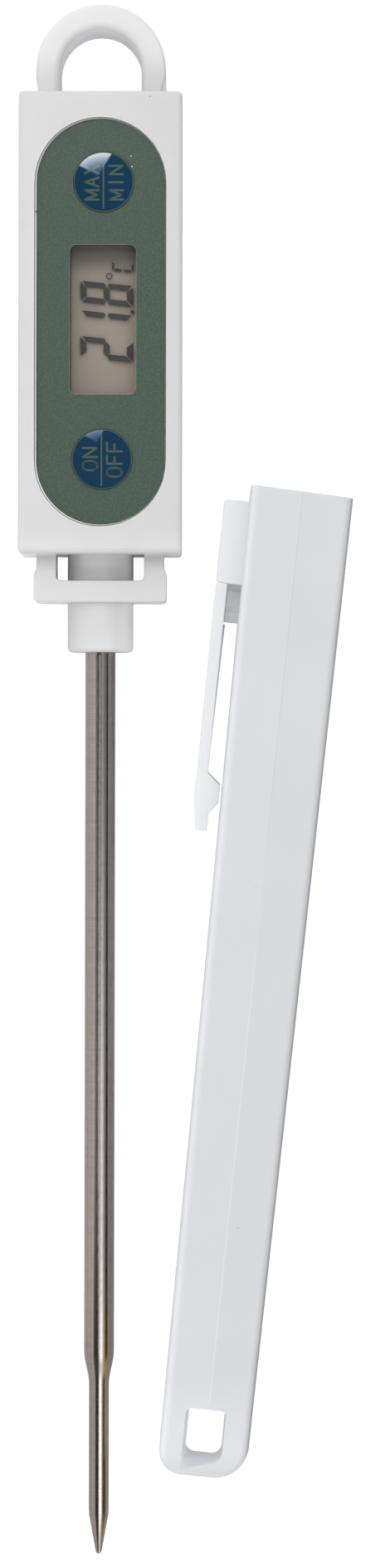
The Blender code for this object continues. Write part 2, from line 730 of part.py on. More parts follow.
def face_label(parent, material):
    film = add_object(
        "face_label", slab(label_outline(0.0), LABEL_BASE, LABEL_TOP), parent, material
    )
    window = slab(window_outline(0.0, WINDOW_CORNER), RECESS_FLOOR, BODY_DEPTH)
    removed = [add_object("label_window", window, parent)]
    for name, y in (("max_min", MAX_MIN_PLACE), ("on_off", ON_OFF_PLACE)):
        center = (FACE_SHIFT, y, 0.0)
        hole = rod(BUTTON_RADIUS + FIT, RECESS_FLOOR, BODY_DEPTH, "Z", center)
        removed.append(add_object(name + "_label_hole", hole, parent))
    cut(film, *removed)
    return film


def button(name, y, parent, material):
    """A domed cap with a flat-sided cone round its crown, a flange under the face and a stem."""
    flank_top = LABEL_TOP + BUTTON_DOME - BUTTON_DOME / 8
    rim = BUTTON_RADIUS - BUTTON_DOME / 4
    profile = [
        (0.0, STEM_BASE),
        (BUTTON_STEM, STEM_BASE),
        (BUTTON_STEM, FLANGE_BASE),
        (BUTTON_RADIUS + BUTTON_FLANGE, FLANGE_BASE),
        (BUTTON_RADIUS + BUTTON_FLANGE, FLANGE_TOP),
        (BUTTON_RADIUS, FLANGE_TOP),
        (BUTTON_RADIUS, LABEL_TOP),
        (rim, LABEL_TOP + BUTTON_DOME / 5),
        (BUTTON_CROWN, flank_top),
        (BUTTON_CROWN / 2, flank_top + BUTTON_DOME / 10),
        (0.0, LABEL_TOP + BUTTON_DOME),
    ]
    center = (FACE_SHIFT, y, 0.0)
    return add_object(
        name, turned(profile, "Z", center), parent, material, (FACE_SHIFT, y, LABEL_TOP)
    )


def plunger(name, y, parent, material):
    center = (FACE_SHIFT, y, 0.0)
    solid = rod(PLUNGER_RADIUS, PLUNGER_TOP - PLUNGER_LENGTH, PLUNGER_TOP, "Z", center, SMALL_STEPS)
    return add_object(name, solid, parent, material, (FACE_SHIFT, y, PLUNGER_TOP))


def switch_base(name, y, parent, material):
    half = SWITCH_SIZE / 2
    low = (FACE_SHIFT - half, y - half, SWITCH_BASE)
    high = (FACE_SHIFT + half, y + half, SWITCH_TOP)
    base = add_object(name, block(low, high), parent, material)
    round_edges(base, FIT)
    depth = PLUNGER_TOP - PLUNGER_LENGTH - BUTTON_TRAVEL - FIT
    well = rod(PLUNGER_RADIUS + FIT, depth, FACE_INSIDE, "Z", (FACE_SHIFT, y, 0.0), SMALL_STEPS)
    cut(base, add_object(name + "_well", well, parent))
    return base


def display_parts(parent, mats):
    """The clear lens, the display glass with its backing, their holder and the contact strip."""
    lens = slab(window_outline(LENS_LAP - FIT, 2 * WINDOW_CORNER - FIT), LENS_BASE, LENS_TOP)
    add_object("display_lens", lens, parent, mats["clear"])
    glass = slab(window_outline(DISPLAY_LAP, WINDOW_CORNER), DISPLAY_BASE, DISPLAY_TOP)
    add_object("display_glass", glass, parent, mats["display"])
    backing_top = REFLECTOR_BASE + REFLECTOR_THICKNESS
    backing = slab(window_outline(DISPLAY_LAP, WINDOW_CORNER), REFLECTOR_BASE, backing_top)
    add_object("display_reflector", backing, parent, mats["silver"])
    inner = window_outline(DISPLAY_LAP + FIT, WINDOW_CORNER)
    outer = window_outline(DISPLAY_LAP + FIT + HOLDER_WALL, 2 * WINDOW_CORNER)
    holder = framed(outer, inner, BOARD_TOP + FILM_GAP, DISPLAY_TOP)
    add_object("display_holder", holder, parent, mats["holder"])
    edge = FACE_SHIFT - WINDOW_WIDTH / 2 - DISPLAY_LAP
    reach = WINDOW_LENGTH / 2
    strip = block(
        (edge, FACE_MIDDLE - reach, BOARD_TOP + FILM_GAP),
        (edge + STRIP_WIDTH, FACE_MIDDLE + reach, HOLDER_FLOOR),
    )
    add_object("contact_strip", strip, parent, mats["rubber"])


def board_parts(parent, mats):
    """The circuit board, the sealed chip on it and its timing crystal."""
    middle = (FACE_SHIFT, (BOARD_LOW + BOARD_HIGH) / 2)
    length = BOARD_HIGH - BOARD_LOW
    outline = rounded_rectangle(BOARD_WIDTH, length, (FIT, FIT), middle, 2)
    board = add_object("circuit_board", slab(outline, BOARD_BASE, BOARD_TOP), parent, mats["board"])
    for i, place in enumerate(board_screw_places()):
        hole = rod(SCREW_RADIUS + FIT, 0.0, BODY_DEPTH, "Z", (*place, 0.0), SMALL_STEPS)
        cut(board, add_object(f"board_hole_{i + 1}", hole, parent))
    dome = [(0.0, BOARD_TOP + FILM_GAP), (CHIP_RADIUS, BOARD_TOP + FILM_GAP)]
    steps = 5
    for i in range(1, steps):
        angle = math.radians(90 * i / steps)
        height = BOARD_TOP + FILM_GAP + CHIP_HEIGHT * math.sin(angle)
        dome.append((CHIP_RADIUS * math.cos(angle), height))
    dome.append((0.0, BOARD_TOP + FILM_GAP + CHIP_HEIGHT))
    chip_center = (FACE_SHIFT + STRIP_WIDTH / 2, FACE_MIDDLE, 0.0)
    add_object("controller_chip", turned(dome, "Z", chip_center, SMALL_STEPS), parent, mats["epoxy"])
    low = BOARD_LOW + length / 4
    crystal_center = (FACE_SHIFT, 0.0, BOARD_BASE - FILM_GAP - CRYSTAL_RADIUS)
    crystal = rod(CRYSTAL_RADIUS, low, low + CRYSTAL_LENGTH, "Y", crystal_center, SMALL_STEPS)
    add_object("timing_crystal", crystal, parent, mats["silver"])


def screw(name, place, base, length, parent, material):
    """A pan-head screw driven upwards, with a straight slot in its head."""
    head_top = base + SCREW_HEAD_HEIGHT
    profile = [
        (0.0, base),
        (SCREW_HEAD * 0.8, base),
        (SCREW_HEAD, base + SCREW_HEAD_HEIGHT / 3),
        (SCREW_HEAD, head_top),
        (SCREW_RADIUS, head_top),
        (SCREW_RADIUS, base + length - SCREW_RADIUS),
        (0.0, base + length),
    ]
    solid = add_object(
        name, turned(profile, "Z", (*place, 0.0), SMALL_STEPS), parent, material
    )
    half, reach = SCREW_SLOT_WIDTH / 2, 2 * SCREW_HEAD
    slot = block(
        (place[0] - reach, place[1] - half, base - SCREW_HEAD_HEIGHT),
        (place[0] + reach, place[1] + half, base + SCREW_HEAD_HEIGHT / 2),
    )
    cut(solid, add_object(name + "_slot", slot, parent))


def battery_parts(parent, mats):
    """The button cell, its two contacts, and the coin-slot door with its seal."""
    center = (0.0, BAY_PLACE, 0.0)
    bevel = CONTACT_THICKNESS
    cell = turned(
        [
            (0.0, CELL_BASE),
            (CELL_RADIUS - bevel, CELL_BASE),
            (CELL_RADIUS, CELL_BASE + bevel),
            (CELL_RADIUS, CELL_TOP - 2 * bevel),
            (CELL_RADIUS - 2 * bevel, CELL_TOP - bevel),
            (CELL_RADIUS - 4 * bevel, CELL_TOP),
            (0.0, CELL_TOP),
        ],
        "Z",
        center,
    )
    add_object("battery_cell", cell, parent, mats["steel"])
    half = CONTACT_WIDTH / 2
    inner = BAY_RADIUS - FIT
    foot = BOARD_BASE - FILM_GAP
    side_strip = [
        (inner, CELL_BASE + FIT),
        (inner + CONTACT_THICKNESS, CELL_BASE + FIT),
        (inner + CONTACT_THICKNESS, foot),
        (inner - CONTACT_WIDTH / 2, foot),
        (inner - CONTACT_WIDTH / 2, foot - CONTACT_THICKNESS),
        (inner, foot - CONTACT_THICKNESS),
    ]
    low, high = BAY_PLACE - half, BAY_PLACE + half
    positive = loft([[(x, y, z) for x, z in side_strip] for y in (low, high)])
    add_object("positive_contact", positive, parent, mats["steel"])
    reach = CELL_RADIUS / 2
    touch = CELL_TOP + FILM_GAP
    leaf = [
        (-reach, foot),
        (-reach, foot - CONTACT_THICKNESS),
        (0.0, foot - CONTACT_THICKNESS),
        (reach, touch),
        (reach + CONTACT_THICKNESS, touch),
        (reach + CONTACT_THICKNESS, touch + CONTACT_THICKNESS),
        (reach - CONTACT_THICKNESS, touch + 2 * CONTACT_THICKNESS),
        (CONTACT_THICKNESS, foot),
    ]
    negative = loft([[(x, BAY_PLACE + y, z) for y, z in leaf] for x in (-half, half)])
    add_object("negative_contact", negative, parent, mats["steel"])
    flange_top = DOOR_BASE + DOOR_FLANGE_THICKNESS
    groove = DOOR_HUB_RADIUS - RING_THICKNESS + RUN
    groove_low, groove_high = flange_top + SEAM, flange_top + SEAM + RING_THICKNESS + 2 * FILM_GAP
    door = turned(
        [
            (0.0, DOOR_BASE),
            (DOOR_FLANGE - FIT, DOOR_BASE),
            (DOOR_FLANGE, DOOR_BASE + FIT),
            (DOOR_FLANGE, flange_top),
            (DOOR_HUB_RADIUS, flange_top),
            (DOOR_HUB_RADIUS, groove_low),
            (groove, groove_low),
            (groove, groove_high),
            (DOOR_HUB_RADIUS, groove_high),
            (DOOR_HUB_RADIUS, DOOR_TOP),
            (0.0, DOOR_TOP),
        ],
        "Z",
        center,
    )
    door_object = add_object("battery_door", door, parent, mats["white"], center)
    slot = block(
        (-DOOR_SLOT_LENGTH / 2, BAY_PLACE - DOOR_SLOT_WIDTH / 2, -WALL),
        (DOOR_SLOT_LENGTH / 2, BAY_PLACE + DOOR_SLOT_WIDTH / 2, DOOR_BASE + DOOR_SLOT_DEPTH),
    )
    cut(door_object, add_object("door_coin_slot", slot, parent))
    ring_inner, ring_outer = groove + FILM_GAP, DOOR_OPENING - FILM_GAP
    ring_low = groove_low + FILM_GAP
    add_object(
        "battery_door_seal",
        o_ring(ring_inner, ring_outer, ring_low, ring_low + RING_THICKNESS, "Z", center),
        parent,
        mats["rubber"],
        center,
    )


def o_ring(inner, outer, low, high, axis, center, steps=ROUND_STEPS):
    """A ring of oval section between two radii and two heights."""
    middle, half = (inner + outer) / 2, (outer - inner) / 2
    rise, lift = (low + high) / 2, (high - low) / 2
    section = []
    sides = 6
    for i in range(sides):
        angle = 2 * math.pi * i / sides
        section.append((middle + half * math.cos(angle), rise + lift * math.sin(angle)))
    return turned(section, axis, center, steps, closed=True)


def neck_parts(parent, mats):
    """The neck that holds the probe, its flange inside the housing, and its seal in the end wall."""
    center = (0.0, 0.0, MIDDLE)
    groove_low = (NECK_SHELF - NECK_GROOVE_WIDTH) / 2
    groove_high = groove_low + NECK_GROOVE_WIDTH
    groove = NECK_RADIUS - NECK_GROOVE_DEPTH
    bore = PROBE_RADIUS + FIT
    profile = [(bore, -NECK_LENGTH)]
    round_middle = (NECK_RADIUS - NECK_ROUND, -NECK_LENGTH + NECK_ROUND)
    profile += arc(round_middle, NECK_ROUND, -90, 0, 4)
    profile += [
        (NECK_RADIUS, groove_low),
        (groove, groove_low),
        (groove, groove_high),
        (NECK_RADIUS, groove_high),
        (NECK_RADIUS, NECK_SHELF + FIT),
        (NECK_FLANGE, NECK_SHELF + FIT),
        (NECK_FLANGE, NECK_SHELF + NECK_FLANGE_THICKNESS),
        (NECK_TUBE, NECK_SHELF + NECK_FLANGE_THICKNESS),
        (NECK_TUBE, NECK_TOP),
        (bore, NECK_TOP),
    ]
    add_object("probe_neck", turned(profile, "Y", center, closed=True), parent, mats["white"])
    seal_low = groove_low + FILM_GAP
    seal_high = groove_high - FILM_GAP
    seal = o_ring(
        groove + FILM_GAP, NECK_RADIUS + FIT - FILM_GAP / 2, seal_low, seal_high, "Y", center
    )
    add_object("neck_seal", seal, parent, mats["rubber"])


def probe_parts(parent, mats):
    """The steel tube, drawn down to a thin pointed tip, and the sensor and leads inside it."""
    center = (0.0, 0.0, MIDDLE)
    shoulder_low = PROBE_TIP + POINT_LENGTH + TIP_LENGTH
    shoulder_high = shoulder_low + SHOULDER_LENGTH
    point_low = PROBE_TIP + POINT_LENGTH
    profile = [(0.0, PROBE_TIP)]
    profile += arc((0.0, PROBE_TIP + POINT_RADIUS), POINT_RADIUS, -60, -15, 3)
    profile += [
        (TIP_RADIUS, point_low),
        (TIP_RADIUS, shoulder_low),
        (PROBE_RADIUS - PROBE_WALL, shoulder_high - PROBE_WALL * 3),
        (PROBE_RADIUS, shoulder_high),
        (PROBE_RADIUS, PROBE_TOP),
        (PROBE_BORE, PROBE_TOP),
        (PROBE_BORE, shoulder_high),
        (TIP_BORE, shoulder_low),
        (TIP_BORE, point_low),
        (0.0, point_low - TIP_BORE / 2),
    ]
    add_object("probe_tube", turned(profile, "Y", center), parent, mats["steel"])

    bead_low = BEAD_PLACE
    bead_high = bead_low + BEAD_LENGTH
    bead_profile = [(0.0, bead_low)]
    bead_profile += arc((0.0, bead_low + BEAD_RADIUS), BEAD_RADIUS, -60, 0, 3)
    bead_profile += arc((0.0, bead_high - BEAD_RADIUS), BEAD_RADIUS, 0, 60, 3)
    bead_profile.append((0.0, bead_high))
    bead = turned(bead_profile, "Y", center, SMALL_STEPS)
    add_object("thermistor", bead, parent, mats["epoxy"])

    lead_low = bead_high + FIT
    pad = BOARD_LOW + 3 * POST_RADIUS
    lead_end = BOARD_BASE - FILM_GAP
    for name, side in (("sensor_lead_left", -1), ("sensor_lead_right", 1)):
        x = side * LEAD_SPACING / 2
        bend = NECK_TOP + SEAM
        route = [(x, lead_low, MIDDLE), (x, NECK_TOP / 2, MIDDLE), (x, bend, MIDDLE)]
        steps = 6
        for i in range(1, steps + 1):
            share = i / steps
            ease = share * share * (3 - 2 * share)
            y = bend + (pad - bend) * share
            z = MIDDLE + (lead_end - LEAD_RADIUS - MIDDLE) * ease
            route.append((x * (1 + 2 * ease), y, z))
        lead(name, route, parent, mats["red" if side < 0 else "rubber"])

    sleeve_low = shoulder_high + SEAM
    sleeve = tube(
        SLEEVE_RADIUS - SLEEVE_WALL,
        SLEEVE_RADIUS,
        sleeve_low,
        PROBE_TOP - POTTING_LENGTH - 2 * SEAM,
        "Y",
        center,
        SMALL_STEPS,
    )
    add_object("lead_sleeve", sleeve, parent, mats["sleeve"])
    potting = rod(
        PROBE_BORE - FIT, PROBE_TOP - POTTING_LENGTH - SEAM, PROBE_TOP - SEAM, "Y", center, SMALL_STEPS
    )
    plug = add_object("probe_potting", potting, parent, mats["epoxy"])
    for side in (-1, 1):
        place = (side * LEAD_SPACING / 2, 0.0, MIDDLE)
        hole = rod(LEAD_RADIUS + FILM_GAP, 0.0, NECK_TOP + NECK_LENGTH, "Y", place, 12)
        cut(plug, add_object(f"potting_hole_{side + 2}", hole, parent))


def lead(name, route, parent, material):
    """An insulated wire along a route."""
    curve = bpy.data.curves.new(name, "CURVE")
    curve.dimensions = "3D"
    curve.bevel_depth = LEAD_RADIUS
    curve.bevel_resolution = 2
    curve.use_fill_caps = True
    spline = curve.splines.new("POLY")
    spline.points.add(len(route) - 1)
    for point, place in zip(spline.points, route):
        point.co = (*place, 1.0)
    obj = bpy.data.objects.new(name, curve)
    obj.parent = parent
    curve.materials.append(material)
    bpy.context.scene.collection.objects.link(obj)


def narrow_half(u):
    """Half of the sheath's narrow width at a distance from the mouth."""
    share = u / SHEATH_LENGTH
    return (MOUTH_NARROW + (SHEATH_END_NARROW - MOUTH_NARROW) * share) / 2


def wide_half(u):
    share = u / SHEATH_LENGTH
    return (MOUTH_WIDE + (SHEATH_END_WIDE - MOUTH_WIDE) * share) / 2


def sheath_section(u, inset):
    """The sheath's cross-section at a distance from the mouth, drawn in by an inset."""
    shrink = inset
    start = SHEATH_LENGTH - SHEATH_END_ROUND
    if u > start:
        share = min((u - start) / SHEATH_END_ROUND, 1.0)
        shrink += SHEATH_END_ROUND * (1 - math.sqrt(1 - share * share))
    width, height = 2 * (narrow_half(u) - shrink), 2 * (wide_half(u) - shrink)
    corner = max(SHEATH_EDGE - shrink / 2, 0.3 * MM)
    outline = rounded_rectangle(width, height, (corner, corner), steps=4)
    return [(x, -u, z) for x, z in outline]


def hole_outline(spread):
    middle = -(SHEATH_LENGTH - HOLE_END_WALL - HOLE_LENGTH / 2)
    width, length = HOLE_WIDTH + 2 * spread, HOLE_LENGTH
    return rounded_rectangle(width, length, (HOLE_CORNER, HOLE_CORNER), (0.0, middle), 3)


def sheath(parent, material):
    start = SHEATH_LENGTH - SHEATH_END_ROUND
    places = [0.0, start]
    steps = 5
    for i in range(1, steps + 1):
        places.append(start + SHEATH_END_ROUND * math.sin(math.radians(90 * i / steps)))
    shell = add_object(
        "sheath", loft([sheath_section(u, 0.0) for u in places]), parent, material
    )
    wall_x = -narrow_half(CLIP_ROOT) + EMBED
    outer_x = -MOUTH_NARROW / 2 - CLIP_STANDOFF
    half = CLIP_WIDTH / 2
    root = block((outer_x, -CLIP_ROOT, -half), (wall_x, -CLIP_START, half))
    root_object = add_object("clip_root", root, parent)
    round_edges(root_object, FIT)
    web_x = outer_x + CLIP_THICKNESS + SEAM
    web = block(
        (web_x, -CLIP_WEB_END, -CLIP_WEB_WIDTH / 2),
        (wall_x, -CLIP_ROOT + EMBED, CLIP_WEB_WIDTH / 2),
    )
    join(shell, root_object, add_object("clip_web", web, parent))
    depth = SHEATH_LENGTH - HOLE_END_WALL - HOLE_LENGTH - HOLE_END_WALL
    inside = loft([sheath_section(u, SHEATH_WALL) for u in (-SHEATH_WALL, depth)])
    reach = MOUTH_WIDE
    hang_hole = loft(
        [
            [(x, y, -reach / 2) for x, y in hole_outline(-HOLE_DRAFT)],
            [(x, y, reach / 2) for x, y in hole_outline(HOLE_DRAFT)],
        ]
    )
    cut(
        shell,
        add_object("sheath_inside", inside, parent),
        add_object("hang_hole", hang_hole, parent),
    )
    return shell


def pocket_clip(parent, material):
    """The clip's springy arm, with a rib behind its root and a grip that bears on the sheath."""
    outer = -MOUTH_NARROW / 2 - CLIP_STANDOFF
    inner = outer + CLIP_THICKNESS
    grip_end = CLIP_END - GRIP_FROM_END
    grip_start = grip_end - GRIP_FLAT - 2 * GRIP_RAMP
    grip_x = -narrow_half(grip_start) - SEAM
    start = CLIP_ROOT + SEAM
    profile = [
        (outer, start),
        (outer, grip_end - GRIP_RAMP),
        (outer + CLIP_TIP_TURN, CLIP_END - FIT),
        (outer + CLIP_TIP_TURN + FIT, CLIP_END),
        (inner + CLIP_TIP_TURN, CLIP_END),
        (inner + CLIP_TIP_TURN, grip_end),
        (grip_x, grip_end - GRIP_RAMP),
        (grip_x, grip_start + GRIP_RAMP),
        (inner, grip_start),
        (inner, start),
    ]
    half = CLIP_WIDTH / 2
    arm = loft([[(x, -u, z) for x, u in profile] for z in (-half, half)])
    origin = ((outer + inner) / 2, -start, 0.0)
    clip = add_object("pocket_clip", arm, parent, material, origin)
    rib_profile = [
        (inner - CLIP_THICKNESS / 2, CLIP_WEB_END + SEAM),
        (inner - CLIP_THICKNESS / 2, CLIP_RIB_END),
        (inner, CLIP_RIB_END),
        (inner + CLIP_RIB_HEIGHT, CLIP_WEB_END + SEAM),
    ]
    rib_half = CLIP_RIB_WIDTH / 2
    stiffener = loft([[(x, -u, z) for x, u in rib_profile] for z in (-rib_half, rib_half)])
    join(clip, add_object("clip_rib", stiffener, parent))
    return clip


def main():
    clear_scene()
    mats = {
        "white": finish("white_abs", (0.72, 0.71, 0.72), 0.45),
        "sheath": finish("white_sheath", (0.72, 0.73, 0.75), 0.4),
        "label": finish("green_film", (0.077, 0.124, 0.089), 0.45),
        "blue": finish("blue_button", (0.008, 0.055, 0.17), 0.2),
        "clear": finish("clear_lens", (0.9, 0.9, 0.9), 0.05, alpha=0.3),
        "display": finish("display_glass", (0.35, 0.33, 0.28), 0.15),
        "silver": finish("silver_film", (0.6, 0.6, 0.6), 0.3, 0.8),
        "steel": finish("stainless_steel", (0.55, 0.53, 0.5), 0.3, 1.0),
        "holder": finish("holder_white", (0.6, 0.6, 0.58), 0.5),
        "rubber": finish("black_rubber", (0.02, 0.02, 0.02), 0.7),
        "board": finish("board_green", (0.02, 0.14, 0.05), 0.4),
        "epoxy": finish("black_epoxy", (0.015, 0.015, 0.015), 0.3),
        "red": finish("red_insulation", (0.35, 0.02, 0.02), 0.5),
        "sleeve": finish("clear_sleeve", (0.6, 0.58, 0.5), 0.4),
    }
    body = frame_empty("thermometer_frame", (THERMOMETER_X, THERMOMETER_Y, 0.0))
    front = front_housing(body, mats["white"])
    rear = rear_housing(body, mats["white"])
    housing_seal(body, mats["rubber"])
    face_label(body, mats["label"])
    display_parts(body, mats)
    board_parts(body, mats)
    for name, y in (("max_min", MAX_MIN_PLACE), ("on_off", ON_OFF_PLACE)):
        button(name + "_button", y, body, mats["blue"])
        plunger(name + "_plunger", y, body, mats["holder"])
        switch_base(name + "_switch", y, body, mats["epoxy"])
    battery_parts(body, mats)
    neck_parts(body, mats)
    probe_parts(body, mats)
    for i, place in enumerate(case_screw_places()):
        screw(f"case_screw_{i + 1}", place, SCREW_SINK, CASE_SCREW_LENGTH, body, mats["steel"])
    for i, place in enumerate(board_screw_places()):
        base = BOARD_BASE - FILM_GAP - SCREW_HEAD_HEIGHT
        screw(f"board_screw_{i + 1}", place, base, BOARD_SCREW_LENGTH, body, mats["steel"])

    mouth = (
        THERMOMETER_X + SHEATH_OFFSET,
        THERMOMETER_Y + SHEATH_RISE,
        MOUTH_WIDE / 2 * math.cos(SHEATH_PITCH),
    )
    holder = frame_empty("sheath_frame", mouth)
    holder.rotation_euler = (
        Matrix.Rotation(-SHEATH_YAW, 3, "Z") @ Matrix.Rotation(SHEATH_PITCH, 3, "X")
    ).to_euler()
    sheath(holder, mats["sheath"])
    pocket_clip(holder, mats["sheath"])


main()
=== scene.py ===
from math import atan, copysign, cos, hypot, pi, radians, sin, sqrt, tan

import bmesh
import bpy
from mathutils import Matrix, Vector


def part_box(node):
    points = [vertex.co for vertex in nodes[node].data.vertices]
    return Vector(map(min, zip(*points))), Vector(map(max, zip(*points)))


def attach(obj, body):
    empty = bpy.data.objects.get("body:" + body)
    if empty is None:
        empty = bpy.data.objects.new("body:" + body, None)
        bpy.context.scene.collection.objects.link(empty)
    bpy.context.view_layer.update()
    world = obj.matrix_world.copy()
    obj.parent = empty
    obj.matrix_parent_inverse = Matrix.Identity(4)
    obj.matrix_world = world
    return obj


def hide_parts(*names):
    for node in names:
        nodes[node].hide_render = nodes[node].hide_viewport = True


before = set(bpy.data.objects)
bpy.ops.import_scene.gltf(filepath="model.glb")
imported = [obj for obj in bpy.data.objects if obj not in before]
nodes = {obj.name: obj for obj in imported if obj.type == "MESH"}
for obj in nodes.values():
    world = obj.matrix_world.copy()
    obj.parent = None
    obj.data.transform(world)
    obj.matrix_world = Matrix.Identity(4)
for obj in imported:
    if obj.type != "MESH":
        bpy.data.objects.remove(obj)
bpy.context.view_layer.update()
scene = bpy.context.scene
MM = 0.001

# Places and sizes that the finer pieces share with the solids
STEM_RADIUS = 2.0 * MM
NEEDLE_RADIUS = 1.33 * MM
NEEDLE_LENGTH = 17.0 * MM
SHOULDER_LENGTH = 4.5 * MM
POINT_LENGTH = 5.5 * MM
PROBE_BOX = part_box("probe_tube")
HOUSING_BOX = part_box("front_housing")
LABEL_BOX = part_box("face_label")
AXIS_X = (PROBE_BOX[0].x + PROBE_BOX[1].x) / 2
AXIS_Z = (PROBE_BOX[0].z + PROBE_BOX[1].z) / 2
BRACKET_LENGTH = 6.35 * MM
HOUSING_LOW = HOUSING_BOX[0].y + BRACKET_LENGTH
FACE_Z = HOUSING_BOX[1].z
FACE_X = AXIS_X + 0.35 * MM  # the face's parts sit a little right of the probe
FACE_Y = (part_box("display_glass")[0].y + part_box("display_glass")[1].y) / 2
BUTTON_Y = {
    "max_min": (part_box("max_min_button")[0].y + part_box("max_min_button")[1].y) / 2,
    "on_off": (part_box("on_off_button")[0].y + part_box("on_off_button")[1].y) / 2,
}
SHEATH_LENGTH = 130.6 * MM
SHEATH_WALL = 1.35 * MM
MOUTH_NARROW = 13.44 * MM
MOUTH_WIDE = 20.54 * MM
END_NARROW = 11.7 * MM
END_WIDE = 12.8 * MM
SHEATH_YAW = radians(-5.7)
SHEATH_PITCH = atan((MOUTH_WIDE - END_WIDE) / 2 / SHEATH_LENGTH)
SHEATH_OFFSET = 26.52 * MM
SHEATH_RISE = 8.0 * MM
MOUTH_HEIGHT = MOUTH_WIDE / 2 * cos(SHEATH_PITCH)
MOUTH = (AXIS_X + SHEATH_OFFSET, HOUSING_LOW + SHEATH_RISE, MOUTH_HEIGHT)
SHEATH_PLACE = Matrix.Translation(MOUTH) @ (
    Matrix.Rotation(SHEATH_YAW, 4, "Z") @ Matrix.Rotation(SHEATH_PITCH, 4, "X")
)


# Meshes


def loft(rings, looped=False):
    """A skin over rings of equally many points, with flat ends unless it loops back on itself."""
    bm = bmesh.new()
    rows = [[bm.verts.new(p) for p in ring] for ring in rings]
    pairs = list(zip(rows, rows[1:]))
    if looped:
        pairs.append((rows[-1], rows[0]))
    count = len(rows[0])
    for lower, upper in pairs:
        for i in range(count):
            j = (i + 1) % count
            bm.faces.new((lower[i], lower[j], upper[j], upper[i]))
    if not looped:
        bm.faces.new(list(reversed(rows[0])))
        bm.faces.new(rows[-1])
    return bm


def lathe(profile, axis, center, steps=96):
    """Turns (radius, height) pairs about an axis; radius 0 closes the end in a point."""
    bm = bmesh.new()
    rows = []
    for radius, height in profile:
        row = []
        for i in range(1 if radius == 0 else steps):
            turn = 2 * pi * i / steps
            a, b = radius * cos(turn), radius * sin(turn)
            point = (a, b, height) if axis == "Z" else (a, height, -b)
            row.append(bm.verts.new(Vector(point) + Vector(center)))
        rows.append(row)
    for lower, upper in zip(rows, rows[1:]):
        for i in range(steps):
            j = (i + 1) % steps
            corners = [lower[i % len(lower)], lower[j % len(lower)]]
            corners += [upper[j % len(upper)], upper[i % len(upper)]]
            bm.faces.new(list(dict.fromkeys(corners)))
    return bm


def plate(outline, low, high):
    """A flat plate from an outline of (x, y) points."""
    return loft([[(x, y, low) for x, y in outline], [(x, y, high) for x, y in outline]])


def arc(center, radius, start, end, steps):
    """Points along an arc, in degrees."""
    points = []
    for i in range(steps + 1):
        turn = radians(start + (end - start) * i / steps)
        points.append((center[0] + radius * cos(turn), center[1] + radius * sin(turn)))
    return points


def rounded_outline(width, height, corner, center):
    """A rectangle with round corners, as (x, y) points."""
    x, y = width / 2 - corner, height / 2 - corner
    points = []
    for cx, cy, start in ((x, y, 0), (-x, y, 90), (-x, -y, 180), (x, -y, 270)):
        points += arc((center[0] + cx, center[1] + cy), corner, start, start + 90, 8)
    return points


def shown(name, bm):
    """A new object made from a bmesh."""
    mesh = bpy.data.meshes.new(name)
    bm.to_mesh(mesh)
    bm.free()
    obj = bpy.data.objects.new(name, mesh)
    scene.collection.objects.link(obj)
    return obj


def joined(bm, part):
    """Adds one bmesh to another."""
    mesh = bpy.data.meshes.new("part")
    part.to_mesh(mesh)
    part.free()
    bm.from_mesh(mesh)
    bpy.data.meshes.remove(mesh)


def piece(name, bm, body, materials, replaced=(), angle=35, matrix=None):
    """Turns a bmesh into a shown piece that rides on a body."""
    if matrix is not None:
        bm.transform(matrix)
    bmesh.ops.recalc_face_normals(bm, faces=bm.faces)
    obj = shown(name, bm)
    obj.data.shade_smooth()
    obj.data.set_sharp_from_angle(angle=radians(angle))
    for material in materials:
        obj.data.materials.append(material)
    if replaced:
        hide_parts(*replaced)
    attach(obj, body)
    return obj


def weighted(obj):
    """Keeps large flat faces flat where they meet a rounding."""
    obj.modifiers.new("even_shading", "WEIGHTED_NORMAL").keep_sharp = True


def bevelled(obj, width, segments=3):
    """Rounds an object's sharp edges."""
    modifier = obj.modifiers.new("rounded_edges", "BEVEL")
    modifier.width = width
    modifier.segments = segments
    modifier.limit_method = "ANGLE"
    modifier.angle_limit = radians(40)
    weighted(obj)


def cut_away(obj, *cutters):
    """Cuts each cutter bmesh from an object and keeps the result as its mesh."""
    helpers = []
    for bm in cutters:
        bmesh.ops.recalc_face_normals(bm, faces=bm.faces)
        helper = shown("cutter", bm)
        modifier = obj.modifiers.new("cut", "BOOLEAN")
        modifier.operation = "DIFFERENCE"
        modifier.solver = "EXACT"
        modifier.object = helper
        helpers.append(helper)
    view = bpy.context.evaluated_depsgraph_get()
    result = bpy.data.meshes.new_from_object(obj.evaluated_get(view))
    obj.modifiers.clear()
    obj.data = result
    for helper in helpers:
        bpy.data.objects.remove(helper)


# Materials


def feed(tree, socket, value):
    """Links an output to a socket, or sets the socket's constant."""
    if isinstance(value, bpy.types.NodeSocket):
        tree.links.new(value, socket)
    else:
        socket.default_value = value


def put(tree, kind, settings=None, **inputs):
    """Adds a node, of the shader kind unless another is named, and returns its outputs.

    An input called _0 is the first socket, any other is a socket's name.
    """
    item = tree.nodes.new(kind if "Node" in kind else "ShaderNode" + kind)
    for name, value in (settings or {}).items():
        setattr(item, name, value)
    for name, value in inputs.items():
        key = int(name[1:]) if name[0] == "_" else name.replace("_", " ")
        feed(tree, item.inputs[key], value)
    return item.outputs


def calc(tree, operation, *values):
    """A sum of one kind or another."""
    inputs = {f"_{i}": value for i, value in enumerate(values)}
    return put(tree, "Math", {"operation": operation}, **inputs)[0]


def product(tree, first, *others):
    for other in others:
        first = calc(tree, "MULTIPLY", first, other)
    return first


